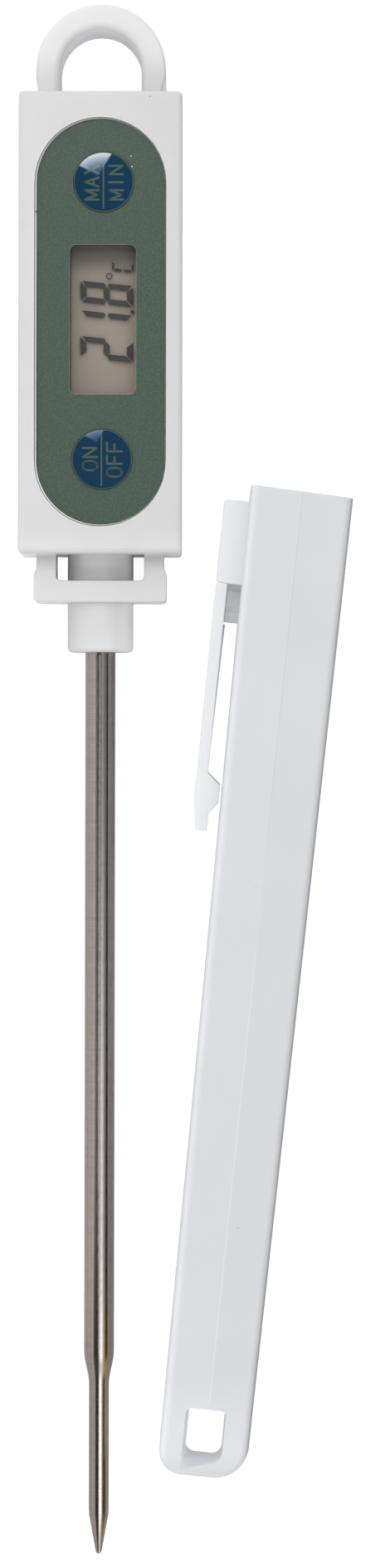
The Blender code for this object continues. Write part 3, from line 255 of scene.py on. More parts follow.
def vector(tree, operation, first, second):
    """The outputs of a vector sum."""
    return put(tree, "VectorMath", {"operation": operation}, _0=first, _1=second)


def band(tree, value, low, high, start=0.0, end=1.0, smooth=True):
    """Maps a value from low..high to start..end."""
    kind = {"interpolation_type": "SMOOTHSTEP" if smooth else "LINEAR"}
    return put(tree, "MapRange", kind, _0=value, _1=low, _2=high, _3=start, _4=end)[0]


def mixed(tree, share, first, second, kind="MIX"):
    """Mixes two colours by a share."""
    kinds = {"data_type": "RGBA", "blend_type": kind}
    return put(tree, "Mix", kinds, _0=share, _6=first, _7=second)[2]


def rgb(red, green, blue):
    return (red, green, blue, 1.0)


def even(level):
    return (level, level, level, 1.0)


def grey(tree, level):
    """A grey colour from a value."""
    return put(tree, "CombineColor", Red=level, Green=level, Blue=level)[0]


def object_place(tree):
    """Where a point lies, in metres of the shared frame."""
    return put(tree, "TexCoord")["Object"]


def coordinates(tree):
    return put(tree, "SeparateXYZ", Vector=object_place(tree))


def new_group(name, inputs, outputs):
    """A shader node group with named sockets: f for a value, c for a colour."""
    tree = bpy.data.node_groups.new(name, "ShaderNodeTree")
    kinds = {"f": "NodeSocketFloat", "c": "NodeSocketColor"}
    for label, kind, value in inputs:
        socket = tree.interface.new_socket(label, in_out="INPUT", socket_type=kinds[kind])
        socket.default_value = value
    for label, kind in outputs:
        tree.interface.new_socket(label, in_out="OUTPUT", socket_type=kinds[kind])
    return tree, put(tree, "NodeGroupInput"), tree.nodes.new("NodeGroupOutput").inputs


DUST_CELLS = 420.0  # places for a speck, per metre
DUST_SHARE = 0.07  # of the places that hold one
DUST_SIZE = 0.055  # radius of a speck, in places


def moulded_group():
    """Colour and surface of moulded plastic: soft cloudiness, fine grain and a few dust specks."""
    tree, given, out = new_group(
        "moulded_surface",
        [
            ("Tint", "c", even(0.8)), ("Shade", "c", even(0.7)), ("Cloud Size", "f", 120.0),
            ("Grain Size", "f", 9000.0), ("Dust", "f", 0.5),
        ],
        [("Color", "c"), ("Height", "f"), ("Roughness Share", "f")],
    )
    place = object_place(tree)
    cloud = put(tree, "TexNoise", Vector=place, Scale=given[2], Detail=3.0)
    grain = put(tree, "TexNoise", Vector=place, Scale=given[3], Detail=2.0)
    ripple = put(tree, "TexNoise", Vector=place, Scale=given[2], Detail=1.0)
    base = mixed(tree, band(tree, cloud[0], 0.35, 0.65), given[0], given[1])
    cells = put(tree, "TexVoronoi", Vector=place, Scale=DUST_CELLS)
    chance = put(tree, "SeparateColor", Color=cells["Color"])
    rare = calc(tree, "GREATER_THAN", chance[0], 1.0 - DUST_SHARE)
    small = calc(tree, "LESS_THAN", cells["Distance"], DUST_SIZE)
    speck = product(tree, rare, small, given[4])
    feed(tree, out[0], mixed(tree, speck, base, rgb(0.18, 0.17, 0.16)))
    fine = product(tree, grain[0], 0.3)
    feed(tree, out[1], calc(tree, "ADD", ripple[0], fine))
    feed(tree, out[2], band(tree, grain[0], 0.3, 0.7, 0.85, 1.15))
    return tree


def brushed_group():
    """Fine grinding lines that run round a turned steel tube, with dull patches."""
    tree, given, out = new_group(
        "brushed_steel",
        [("Bright", "c", rgb(0.4, 0.39, 0.37)), ("Dull", "c", rgb(0.3, 0.29, 0.28))],
        [("Color", "c"), ("Height", "f"), ("Roughness Share", "f")],
    )
    place = object_place(tree)
    ringed = put(tree, "Mapping", Vector=place, Scale=(60.0, 9000.0, 60.0))
    lines = put(tree, "TexNoise", Vector=ringed[0], Scale=1.0, Detail=3.0)
    patches = put(tree, "TexNoise", Vector=place, Scale=900.0, Detail=4.0)
    weak = product(tree, patches[0], 0.4)
    both = calc(tree, "MULTIPLY_ADD", lines[0], 0.6, weak)
    share = band(tree, both, 0.38, 0.62)
    feed(tree, out[0], mixed(tree, share, given[1], given[0]))
    feed(tree, out[1], both)
    feed(tree, out[2], band(tree, patches[0], 0.3, 0.7, 1.12, 0.88))
    return tree


GROUPS = {"moulded": moulded_group(), "brushed": brushed_group()}


def place_group(tree, name, **inputs):
    return put(tree, "Group", {"node_tree": GROUPS[name]}, **inputs)


def start_material(name, **shader_values):
    """A material with its Principled BSDF; constants are set on the shader's own sockets."""
    material = bpy.data.materials.new(name)
    material.use_nodes = True
    tree = material.node_tree
    shader = tree.nodes["Principled BSDF"]
    for label, value in shader_values.items():
        shader.inputs[label.replace("_", " ")].default_value = value
    return material, tree, shader


def bump(tree, shader, height, depth):
    relief = put(tree, "Bump", Height=height, Distance=depth, Strength=1.0)
    feed(tree, shader.inputs["Normal"], relief[0])


def surfaced(tree, shader, color, made, roughness, depth):
    """Feeds a colour, and a group's gloss and height, to the shader."""
    feed(tree, shader.inputs["Base Color"], color)
    feed(tree, shader.inputs["Roughness"], product(tree, made[2], roughness))
    bump(tree, shader, made[1], depth)


def sheath_places(tree):
    """Distance from the sheath's left side, its middle line, its right side and its mouth."""
    spot = vector(tree, "SUBTRACT", object_place(tree), MOUTH)[0]
    ways = (SHEATH_PLACE.col[0].to_3d(), SHEATH_PLACE.col[1].to_3d())
    across, up = (vector(tree, "DOT_PRODUCT", spot, way)["Value"] for way in ways)
    taper = (END_NARROW - MOUTH_NARROW) / 2 / SHEATH_LENGTH
    half = calc(tree, "MULTIPLY_ADD", up, -taper, MOUTH_NARROW / 2)
    return {
        "left": calc(tree, "ADD", half, across),
        "middle": across,
        "right": calc(tree, "SUBTRACT", half, across),
        "mouth": product(tree, up, -1.0),
    }


def with_painted_light(tree, color, painted_light):
    """Multiplies a colour by painted light and shade along the shared frame's axes or distances on
    the sheath.
    """
    place = dict(zip("XYZ", coordinates(tree)))
    if any(tone[0] not in place for tone in painted_light):
        place.update(sheath_places(tree))
    for axis, start, end, low, high in painted_light:
        level = band(tree, place[axis], start * MM, end * MM, low, high)
        color = mixed(tree, 1.0, color, grey(tree, level), "MULTIPLY")
    return color


SEAM_OFFSET = 0.1 * MM
SEAM_EDGE = (0.03 * MM, 0.1 * MM)
SEAM_END = (120.5 * MM, 121.5 * MM)
SEAM_PAINTED_LIGHT = (30.0 * MM, 75.0 * MM, 0.92, 1.14)


def seam_with_painted_highlight(tree, color):
    """A fine parting line down the middle of the sheath: a darker line near the mouth and a painted
    highlight along it towards its far end.
    """
    place = sheath_places(tree)
    beside = calc(tree, "ABSOLUTE", calc(tree, "SUBTRACT", place["middle"], SEAM_OFFSET))
    line = band(tree, beside, *SEAM_EDGE, 1.0, 0.0)
    length = band(tree, place["mouth"], *SEAM_END, 1.0, 0.0)
    level = band(tree, place["mouth"], *SEAM_PAINTED_LIGHT)
    bright = mixed(tree, 1.0, color, grey(tree, level), "MULTIPLY")
    return mixed(tree, product(tree, line, length), color, bright)


def marked(tree, color, marks):
    """Adds small marks to a face's colour."""
    for aside, up, radius, tint in marks:
        center = (AXIS_X + aside * MM, up * MM, 0.0)
        flat = vector(tree, "MULTIPLY", object_place(tree), (1, 1, 0))[0]
        away = vector(tree, "DISTANCE", flat, center)["Value"]
        inside = band(tree, away, radius * 0.6 * MM, radius * 1.2 * MM, 1.0, 0.0)
        color = mixed(tree, inside, color, rgb(*tint))
    return color


def plastic(
    name, tint, shade, roughness, cloud=120.0, grain=9000.0, dust=0.0, depth=4e-6,
    painted_light=(), marks=(), seam=False, **values
):
    """Moulded plastic with cloudy colour, grain in its gloss, a slightly uneven surface and any
    painted light and shade it is given.
    """
    material, tree, shader = start_material(name, **values)
    colors = {"Tint": rgb(*tint), "Shade": rgb(*shade)}
    made = place_group(tree, "moulded", **colors, Cloud_Size=cloud, Grain_Size=grain, Dust=dust)
    color = marked(tree, with_painted_light(tree, made[0], painted_light), marks)
    if seam:
        color = seam_with_painted_highlight(tree, color)
    surfaced(tree, shader, color, made, roughness, depth)
    return material


def probe_share(tree):
    """How far across the probe a point lies, from -1 at its left side to 1 at its right side."""
    x, y, _ = coordinates(tree)
    point = PROBE_BOX[0].y + POINT_LENGTH
    taper = band(tree, y, PROBE_BOX[0].y, point, 0.35 * MM, NEEDLE_RADIUS, smooth=False)
    widening = band(tree, y, point + NEEDLE_LENGTH, point + NEEDLE_LENGTH + SHOULDER_LENGTH)
    radius = calc(tree, "MULTIPLY_ADD", widening, STEM_RADIUS - NEEDLE_RADIUS, taper)
    return calc(tree, "DIVIDE", calc(tree, "SUBTRACT", x, AXIS_X), radius)


METAL_DEPTH = 6e-7
METAL_LOOK = {"Metallic": 1.0, "Anisotropic": 0.85, "Anisotropic_Rotation": 0.25}


def metal(name, bright, dull, roughness, painted_reflections=()):
    """Ground metal, with painted reflections and highlights as streaks along the probe."""
    material, tree, shader = start_material(name, **METAL_LOOK)
    turn = put(tree, "Tangent", {"direction_type": "RADIAL", "axis": "Y"})
    feed(tree, shader.inputs["Tangent"], turn[0])
    made = place_group(tree, "brushed", Bright=rgb(*bright), Dull=rgb(*dull))
    color = made[0]
    share = probe_share(tree) if painted_reflections else None
    height = coordinates(tree)[1]
    for first, last, soft, tint, painted_light, (fading, gone) in painted_reflections:
        left = band(tree, share, first - soft, first + soft)
        right = band(tree, share, last - soft, last + soft, 1.0, 0.0)
        there = band(tree, height, fading * MM, gone * MM, 1.0, 0.0)
        strength = product(tree, left, right, there)
        changed = with_painted_light(tree, rgb(*tint), painted_light)
        color = mixed(tree, strength, color, mixed(tree, 1.0, color, changed, "MULTIPLY"))
    surfaced(tree, shader, color, made, roughness, METAL_DEPTH)
    return material


def clear_plastic(name, alpha):
    """A thin clear window: it shades a little, keeps its gloss and lets light through."""
    material, tree, shader = start_material(name, Roughness=0.08, IOR=1.49, Alpha=alpha)
    dark, darker = even(0.03), even(0.02)
    made = place_group(tree, "moulded", Tint=dark, Shade=darker, Dust=0.0)
    feed(tree, shader.inputs["Base Color"], made[0])
    bump(tree, shader, made[1], 1e-6)
    return material


SHELL_COLORS = ((0.742, 0.735, 0.742), (0.722, 0.716, 0.722))
SHELL_ROUGHNESS = 0.42
# Painted light and shade, as tones of (axis, start, end, factor at the start, factor at the end),
# in millimetres.
# Painted light and shade on the housing: darker towards its right side, a painted highlight on the
# top of the loop, painted shade on the bracket legs towards the body, and painted light along the
# body's lower edge and on the shaded walls below the front face.
SHELL_PAINTED_LIGHT = [
    ("X", -20.0, -2.0, 1.0, 0.95),
    ("Y", 92.0, 96.5, 1.0, 1.17),
    ("Y", 28.6, 30.5, 1.04, 1.0),
    ("Y", 27.2, 29.5, 1.0, 0.82),
    ("Y", 29.6, 30.0, 1.03, 1.33),
    ("Y", 29.9, 34.0, 1.0, 0.93),
    ("Z", 12.8, 14.4, 1.33, 1.0),
]
# Painted light and shade on the recess edge: a painted highlight along its lower end and painted
# shade along its upper end.
RECESS_PAINTED_LIGHT = [("Y", 35.0, 45.0, 1.33, 1.15), ("Y", 76.0, 86.0, 1.0, 0.7)]
# Painted light and shade on the neck: darker at its left, lighter at its right, painted shade in
# the gap between the bracket's bar and the body, darkest next to the bar, and lighter at its lower
# end.
NECK_PAINTED_SHADE = [
    ("X", -15.2, -12.6, 0.95, 1.02),
    ("X", -9.5, -7.3, 1.0, 1.17),
    ("Y", 24.6, 27.2, 1.0, 0.72),
    ("Y", 27.6, 29.4, 1.0, 1.27),
    ("Y", 29.2, 30.4, 1.0, 1.2),
    ("Y", 17.2, 21.0, 1.07, 1.0),
]
# Painted light and shade on the sheath: a painted highlight along its left edge, painted shade
# along its right edge, one half of its crown a little lighter than the other, and lighter towards
# its far end.
SHEATH_PAINTED_LIGHT = [
    ("left", 0.15, 1.3, 1.17, 1.0),
    ("right", 0.05, 0.45, 0.5, 1.0),
    ("right", 0.4, 1.3, 0.94, 1.0),
    ("middle", -0.05, 0.05, 1.012, 0.988),
    ("mouth", 114.0, 126.0, 1.0, 1.09),
]
# Painted shadow on the display's ground: the shadow of the window's upper edge across its upper
# end, and painted shade along its left edge.
DISPLAY_PAINTED_SHADOW = [
    ("Y", 66.3, 69.3, 1.0, 0.45),
    ("X", -15.25, -13.8, 0.85, 1.0),
    ("X", -15.2, -14.95, 0.4, 1.0),
]
# Marks are (distance right of the probe's axis, height, radius, colour), in millimetres.
SHELL_MARKS = [(-8.40, 74.73, 0.14, (0.06, 0.05, 0.05)), (6.5, 89.89, 0.1, (0.4, 0.26, 0.18))]
FILM_MARKS = [
    (3.98, 82.09, 0.08, (0.8, 0.82, 0.8)),
    (4.12, 80.7, 0.1, (0.85, 0.88, 0.85)),
    (8.5, 79.4, 0.12, (0.02, 0.02, 0.02)),
]
# Painted reflections and highlights, as streaks of (from, to, softness, tint, tones, (where it
# fades, where it
# # has gone)): across the probe from -1 to 1, along it in millimetres.
ALL_ALONG = (100.0, 120.0)
# Painted reflection along the probe's middle: darker towards its upper end, brighter towards the
# tip.
CORE_PAINTED_REFLECTION = [("Y", -45.0, 13.0, 1.0, 0.5), ("Y", -60.0, -20.0, 1.15, 1.0)]
# Painted reflections: a warmer, lighter left side, a darker right side, the middle streak, a dark
# line and a bright painted highlight towards the tip, and a golden painted reflection beside it.
STEEL_PAINTED_REFLECTIONS = [
    (-1.2, -0.3, 0.06, (1.16, 1.1, 1.07), [("Y", -79.0, -66.0, 0.86, 1.0)], ALL_ALONG),
    (0.58, 1.2, 0.04, (0.88, 0.86, 0.83), [], ALL_ALONG),
    (-0.15, 0.35, 0.05, (1.0, 1.0, 1.0), CORE_PAINTED_REFLECTION, ALL_ALONG),
    (-0.36, -0.04, 0.04, (0.3, 0.28, 0.25), [], (-78.0, -40.0)),
    (0.03, 0.34, 0.03, (1.55, 1.55, 1.55), [], (-86.0, -60.0)),
    (0.34, 0.56, 0.03, (1.75, 1.25, 0.42), [], (-77.0, -60.0)),
]

# The housing's white carries its painted light and shade and its marks.
WHITE = plastic(
    "white_housing", *SHELL_COLORS, SHELL_ROUGHNESS, dust=0.35, painted_light=SHELL_PAINTED_LIGHT, marks=SHELL_MARKS
)
RECESS_WHITE = plastic(
    "white_recess_edge", *SHELL_COLORS, SHELL_ROUGHNESS, painted_light=RECESS_PAINTED_LIGHT, marks=SHELL_MARKS
)
# The neck's white carries its painted light and shade.
NECK_WHITE = plastic("white_neck", *SHELL_COLORS, SHELL_ROUGHNESS, dust=0.2, painted_light=NECK_PAINTED_SHADE)
# The sheath's white carries its painted light and shade and the parting line's painted highlight.
SHEATH_WHITE = plastic(
    "white_sheath_plastic", (0.738, 0.744, 0.764), (0.72, 0.726, 0.746), 0.38,
    cloud=60.0, dust=0.3, painted_light=SHEATH_PAINTED_LIGHT, seam=True,
)
# Painted glow: the walls of the hole in the sheath's end are given a lighter colour and a faint
# glow.
HOLE_PAINTED_GLOW = plastic(
    "painted_glow_hole_wall", (0.8, 0.8, 0.82), (0.76, 0.76, 0.78), 0.4,
    Emission_Color=rgb(0.93, 0.93, 1.0), Emission_Strength=0.13,
)
# Painted light: the clip's plastic is given a lighter colour than the sheath's, to offset the shade
# the clip lies in.
CLIP_PAINTED_LIGHTER = plastic("clip_plastic_painted_lighter", (0.88, 0.89, 0.905), (0.865, 0.875, 0.89), 0.38, 60.0)
# Painted shade: the clip's recessed web is given a darker colour than the sheath's plastic.
WEB_PAINTED_SHADE = plastic("shaded_clip_web", (0.7, 0.71, 0.725), (0.62, 0.63, 0.645), 0.4, cloud=400.0)
GREEN = plastic(
    "green_printed_film", (0.0505, 0.092, 0.0605), (0.028, 0.0612, 0.0363), 0.36,
    cloud=3800.0, grain=5000.0, dust=0.1, marks=FILM_MARKS,
)
# The film's cut edge: its own pale colour, lightened further as a painted highlight along the rim.
FILM_RIM_HIGHLIGHT = plastic("film_cut_edge_painted_highlight", (0.7, 0.76, 0.78), (0.62, 0.7, 0.72), 0.25)
UNDER_DOME = {"roughness": 0.02, "grain": 3000.0, "depth": 2e-7, "IOR": 1.5}
BLUE = plastic(
    "blue_print_under_dome", (0.003, 0.039, 0.088), (0.003, 0.036, 0.082), **UNDER_DOME
)
DOME_GREEN = plastic(
    "green_print_under_dome", (0.086, 0.124, 0.096), (0.082, 0.118, 0.092), **UNDER_DOME
)
DOME_EDGE = plastic(
    "green_dome_edge", (0.054, 0.095, 0.064), (0.05, 0.09, 0.06), 0.36, grain=3000.0
)
STEEL = metal(
    "brushed_probe_steel", (0.375, 0.345, 0.327), (0.335, 0.307, 0.29), 0.22, painted_reflections=STEEL_PAINTED_REFLECTIONS
)
LCD_GROUND = plastic(
    "display_ground", (0.435, 0.375, 0.31), (0.42, 0.36, 0.298), 0.5,
    grain=6000.0, depth=5e-7, painted_light=DISPLAY_PAINTED_SHADOW,
)
LCD_DARK = plastic("display_segment", (0.05, 0.045, 0.044), (0.045, 0.04, 0.04), 0.5, depth=5e-7)


NODE_MATERIALS = {
    "white_shell": WHITE,
    "white_sheath": SHEATH_WHITE,
    "green_film": GREEN,
    "blue_button": BLUE,
    "clear_lens": clear_plastic("clear_window", 0.05),
    "display": LCD_GROUND,
    "silver_film": metal("silver_backing", (0.6, 0.6, 0.6), (0.5, 0.5, 0.5), 0.3),
    "stainless_steel": STEEL,
    "cell_steel": metal("plated_cell_steel", (0.55, 0.54, 0.52), (0.48, 0.47, 0.45), 0.28),
    "screw_steel": metal("zinc_screw_steel", (0.5, 0.49, 0.47), (0.42, 0.41, 0.39), 0.32),
    "spring_brass": metal("spring_brass_strip", (0.6, 0.45, 0.2), (0.5, 0.37, 0.16), 0.3),
    "inner_plastic": plastic("inner_white_plastic", (0.55, 0.55, 0.53), (0.5, 0.5, 0.48), 0.5),
    "black_rubber": plastic("black_seal_rubber", (0.022,) * 3, (0.018,) * 3, 0.65),
    "board_green": plastic("green_board_resist", (0.02, 0.13, 0.05), (0.015, 0.11, 0.04), 0.35),
    "black_epoxy": plastic("black_epoxy_drop", (0.015,) * 3, (0.012,) * 3, 0.25),
    "red_insulation": plastic("red_wire_jacket", (0.35, 0.02, 0.02), (0.3, 0.015, 0.015), 0.45),
    "clear_sleeve": plastic("clear_heatshrink", (0.6, 0.58, 0.5), (0.55, 0.52, 0.45), 0.35),
}


def soft_shading():
    """Joins a solid's corners and shades its roundings smoothly."""
    tree = bpy.data.node_groups.new("joined_smooth", "GeometryNodeTree")
    for way in ("INPUT", "OUTPUT"):
        tree.interface.new_socket("Geometry", in_out=way, socket_type="NodeSocketGeometry")
    entry = put(tree, "NodeGroupInput")[0]
    drop = put(tree, "GeometryNodeRemoveAttribute", _0=entry, Name="custom_normal")
    join = put(tree, "GeometryNodeMergeByDistance", _0=drop[0], Distance=2e-6)
    angle = put(tree, "GeometryNodeInputMeshEdgeAngle")[0]
    limit = radians(35)
    flat = put(tree, "FunctionNodeCompare", {"operation": "LESS_THAN"}, _0=angle, _1=limit)
    kind = "GeometryNodeSetShadeSmooth"
    faces = put(tree, kind, _0=join[0])[0]
    edges = put(tree, kind, {"domain": "EDGE"}, _0=faces, Shade_Smooth=flat[0])
    put(tree, "NodeGroupOutput", _0=edges[0])
    return tree


def dress_nodes():
    """Gives every solid its material and smooth shading."""
    smooth = soft_shading()
    for obj in nodes.values():
        for slot in obj.material_slots:
            name = slot.material.name.split(".")[0]
            slot.link = "OBJECT"
            slot.material = NECK_WHITE if obj == nodes["probe_neck"] else NODE_MATERIALS[name]
        for polygon in obj.data.polygons:
            polygon.use_smooth = True
        obj.modifiers.new("joined_smooth", "NODES").node_group = smooth
        weighted(obj)


# Buttons under clear domes

DOME_RADIUS = 3.93 * MM
PRINT_RADIUS = 3.82 * MM
DOME_CURVE = 66.0 * MM
DOME_TOP = FACE_Z - 0.04 * MM
DOME_EDGE_DROP = 0.015 * MM
CHAMFER_HIGH, CHAMFER_LOW = 17.2 * MM, 17.0 * MM
STALK_RADIUS = 3.8 * MM
FLANGE_RADIUS = 4.6 * MM
FLANGE_DEPTH = 0.6 * MM
PIN_RADIUS = 1.6 * MM
PIN_LENGTH = 0.3 * MM
PRINT_SHIFT = {"max_min": (0.06 * MM, -0.16 * MM), "on_off": (-0.09 * MM, -0.24 * MM)}
LETTER_X = FACE_X - 0.1 * MM
LETTER_RISE = 0.006 * MM
LETTER_LINE = 0.27 * MM
DIVIDER_LINE = 0.2 * MM
STROKE_STEPS = 4  # along each millimetre


def dome_height(x, y):
    """Height of a dome's shallow curve at a place measured from its middle."""
    return DOME_TOP - (x * x + y * y) / (2 * DOME_CURVE)


def button_dome(name, y):
    """A button's cap under its clear dome, down to the flange that holds it in the housing."""
    radii = [PRINT_RADIUS * i / 24 for i in range(25)]
    radii += [PRINT_RADIUS + (DOME_RADIUS - PRINT_RADIUS) * share for share in (0.33, 0.67, 0.93)]
    profile = [(radius, dome_height(radius, 0)) for radius in radii]
    profile.append((DOME_RADIUS, dome_height(DOME_RADIUS, 0) - DOME_EDGE_DROP))
    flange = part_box(name + "_button")[0].z + PIN_LENGTH
    profile += [
        (DOME_RADIUS, CHAMFER_HIGH),
        (STALK_RADIUS, CHAMFER_LOW),
        (STALK_RADIUS, flange + FLANGE_DEPTH),
        (FLANGE_RADIUS, flange + FLANGE_DEPTH),
        (FLANGE_RADIUS, flange),
        (PIN_RADIUS, flange),
        (PIN_RADIUS, flange - PIN_LENGTH),
        (0.0, flange - PIN_LENGTH),
    ]
    shift = PRINT_SHIFT[name]
    center = Vector((FACE_X + shift[0], y + shift[1], 0.0))
    bm = lathe(profile, "Z", center)
    for face in bm.faces:
        middle = face.calc_center_median() - center
        face.material_index = int(hypot(middle.x, middle.y) > PRINT_RADIUS)
    materials = [BLUE, DOME_EDGE]
    piece(name + "_dome", bm, name + "_key", materials, [name + "_button"], 40)


def stroke(bm, points, width, height_at, center):
    """Adds a raised line with round ends through (a, b) points: a runs up the housing, b left."""
    half = width / 2
    turns = [radians(angle) for angle in (12, 35, 60, 90)]
    end = [(-half * cos(turn), half * sin(turn)) for turn in turns]
    for (a0, b0), (a1, b1) in zip(points, points[1:]):
        length = hypot(a1 - a0, b1 - b0)
        da, db = (a1 - a0) / length, (b1 - b0) / length
        count = max(1, int(length * STROKE_STEPS / MM))
        stations = end + [(length * i / count, half) for i in range(1, count)]
        stations += [(length - along, side) for along, side in reversed(end)]
        rings = []
        for along, side in stations:
            ring = []
            for across, lift in ((-side, -4), (side, -4), (side, 1), (0, 1), (-side, 1)):
                x = -(b0 + db * along + da * across)
                y = a0 + da * along - db * across
                z = height_at(x, y) + lift * LETTER_RISE
                ring.append((center[0] + x, center[1] + y, z))
            rings.append(ring)
        joined(bm, loft(rings))


def fuller(value):
    """Swells a sine or cosine, for an oval between an ellipse and a rectangle."""
    return 0.5 + 0.5 * copysign(abs(value) ** 0.8, value)


def letter_paths(letter):
    """Strokes of a plain capital in a box from 0 to 1."""
    turns = [2 * pi * i / 24 for i in range(25)]
    return {
        "M": [[(0, 0), (0, 1), (0.5, 0.12), (1, 1), (1, 0)]],
        "A": [[(0, 0), (0.5, 1), (1, 0)], [(0.18, 0.34), (0.82, 0.34)]],
        "X": [[(0, 0), (1, 1)], [(0, 1), (1, 0)]],
        "I": [[(0.5, 0), (0.5, 1)]],
        "N": [[(0, 0), (0, 1), (1, 0), (1, 1)]],
        "O": [[(fuller(cos(turn)), fuller(sin(turn))) for turn in turns]],
        "F": [[(0, 0), (0, 1), (1, 1)], [(0, 0.5), (0.8, 0.5)]],
    }[letter]


# Letters are (letter, left, right, low, high) and dividers (left, right, height), in millimetres
# from a button's middle; the words read up the housing.
LETTERS = {
    "max_min": [
        ("M", -2.62, -1.12, 0.36, 2.44), ("A", -0.90, 0.51, 0.37, 2.45),
        ("X", 0.81, 2.05, 0.37, 2.45), ("M", -2.61, -1.11, -2.84, -0.77),
        ("I", -0.36, -0.05, -2.83, -0.76), ("N", 0.71, 2.08, -2.83, -0.76),
    ],
    "on_off": [
        ("O", -1.83, -0.32, 0.47, 2.62), ("N", -0.09, 1.36, 0.48, 2.62),
        ("O", -2.67, -1.23, -2.77, -0.55), ("F", -0.96, 0.38, -2.77, -0.55),
        ("F", 0.67, 2.08, -2.76, -0.54),
    ],
}
DIVIDERS = {"max_min": (-3.59, 2.05, -0.14), "on_off": (-3.64, 3.06, 0.04)}


def button_letters(name, y):
    """The two words on a button and the line between them."""
    bm = bmesh.new()
    center = (LETTER_X, y)
    shift = PRINT_SHIFT[name]

    def height(across, up):
        return dome_height(across + LETTER_X - FACE_X - shift[0], up - shift[1])

    half = LETTER_LINE / MM / 2
    for letter, left, right, low, high in LETTERS[name]:
        a0, a1, b0, b1 = left + half, right - half, low + half, high - half
        if letter == "I":
            a0 = a1 = (left + right) / 2
        for path in letter_paths(letter):
            points = [((a0 + (a1 - a0) * u) * MM, (b0 + (b1 - b0) * v) * MM) for u, v in path]
            stroke(bm, points, LETTER_LINE, height, center)
    start, end, b = DIVIDERS[name]
    stroke(bm, [(start * MM, b * MM), (end * MM, b * MM)], DIVIDER_LINE, height, center)
    piece(name + "_letters", bm, name + "_key", [DOME_GREEN], angle=20)


# Printed film

FILM_INSET = 0.055 * MM
FILM_EDGE = 0.08 * MM
FILM_DROP = 0.05 * MM
FILM_X = AXIS_X + 0.07 * MM
RECESS_GAP = 0.03 * MM
RECESS_BEVEL = 0.08 * MM
RECESS_DEPTH = 0.7 * MM
HOLE_GAP = 0.03 * MM
HOLE_RIM = 0.2 * MM
CUT_REACH = 1.0 * MM
WINDOW_MARGIN = 1.5 * MM
WINDOW_CORNER = 0.85 * MM


def film_outline(grow, center_x, lift=0.0):
    """The film's long rounded outline, grown or drawn in."""
    low, high = LABEL_BOX
    inner = (high.x - low.x) / 2
    top, bottom = high.y - inner + lift, low.y + inner + lift
    radius = inner + grow
    return arc((center_x, top), radius, 0, 180, 48) + arc((center_x, bottom), radius, 180, 360, 48)


def recess_edge():
    """The bevelled edge of the housing's recess round the film, with painted light and shade along
    it.
    """
    rings = []
    for grow, center_x, depth in (
        (RECESS_GAP, AXIS_X, 0.0),
        (RECESS_GAP - RECESS_BEVEL, FILM_X, RECESS_BEVEL),
        (RECESS_GAP - RECESS_BEVEL, FILM_X, RECESS_DEPTH),
        (RECESS_GAP, AXIS_X, RECESS_DEPTH),
    ):
        rings.append([(x, y, FACE_Z - depth) for x, y in film_outline(grow, center_x)])
    piece("recess_edge", loft(rings, looped=True), "thermometer", [RECESS_WHITE])


def film():
    """The printed film, a little smaller than its recess, with holes for domes and display."""
    low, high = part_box("face_label")
    bm = plate(film_outline(-FILM_INSET, FILM_X, -FILM_DROP), low.z, high.z)
    materials = [GREEN, FILM_RIM_HIGHLIGHT]
    obj = piece("printed_film", bm, "thermometer", materials, ["face_label"])
    reach = (low.z - CUT_REACH, high.z + CUT_REACH)
    cutters, holes = [], []
    for name, y in BUTTON_Y.items():
        shift = PRINT_SHIFT[name]
        middle = (FACE_X + shift[0], y + shift[1])
        holes.append(Vector((*middle, 0.0)))
        cutters.append(plate(arc(middle, DOME_RADIUS + HOLE_GAP, 0, 356.25, 95), *reach))
    start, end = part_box("display_lens")
    width, length = end.x - start.x - WINDOW_MARGIN, end.y - start.y - WINDOW_MARGIN
    opening = rounded_outline(width, length, WINDOW_CORNER, (FACE_X, FACE_Y))
    cutters.append(plate(opening, *reach))
    cut_away(obj, *cutters)
    bevelled(obj, FILM_EDGE, 2)
    # Cut edges away from the domes take the cut edge's colour with its painted highlight.
    for face in obj.data.polygons:
        flat = Vector((face.center.x, face.center.y, 0.0))
        by_hole = any((flat - hole).length < DOME_RADIUS + HOLE_RIM for hole in holes)
        if abs(face.normal.z) < 0.5 and not by_hole:
            face.material_index = 1


# Display, its parts in millimetres up and to the left of its middle

DISPLAY_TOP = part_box("display_glass")[1].z
SEGMENT_Z = DISPLAY_TOP - 0.55 * MM
SEGMENT_DEPTH = 0.03 * MM
GROUND_Z = DISPLAY_TOP - 1.0 * MM
GROUND_CORNER = 0.5 * MM
DIGITS = [(-4.79, -2.73, "ABGED"), (-1.41, 0.65, "BC"), (2.48, 4.54, "ABCDEFG")]
DIGIT_LOW, DIGIT_MIDDLE, DIGIT_HIGH = -3.54, -0.475, 2.59
DIGIT_LEAN = 0.1
BAR_WIDTH = 0.82
BAR_GAP = 0.05
POINT_MIDDLE, POINT_RADIUS = (1.16, -3.86), 0.28
RING_MIDDLE, RING_OUTER, RING_INNER = (5.87, -0.79), 0.45, 0.3
UNIT_BARS = [
    [(6.62, -1.16), (7.77, -1.16), (7.5, -1.47), (6.86, -1.47)],
    [(6.50, -1.37), (6.90, -1.62), (6.82, -2.38), (6.60, -2.52), (6.40, -2.38)],
    [(6.56, -2.62), (6.78, -2.78), (6.70, -3.55), (6.34, -3.78), (6.36, -2.78)],
    [(6.40, -3.99), (7.50, -3.99), (7.2, -3.69), (6.68, -3.69)],
]


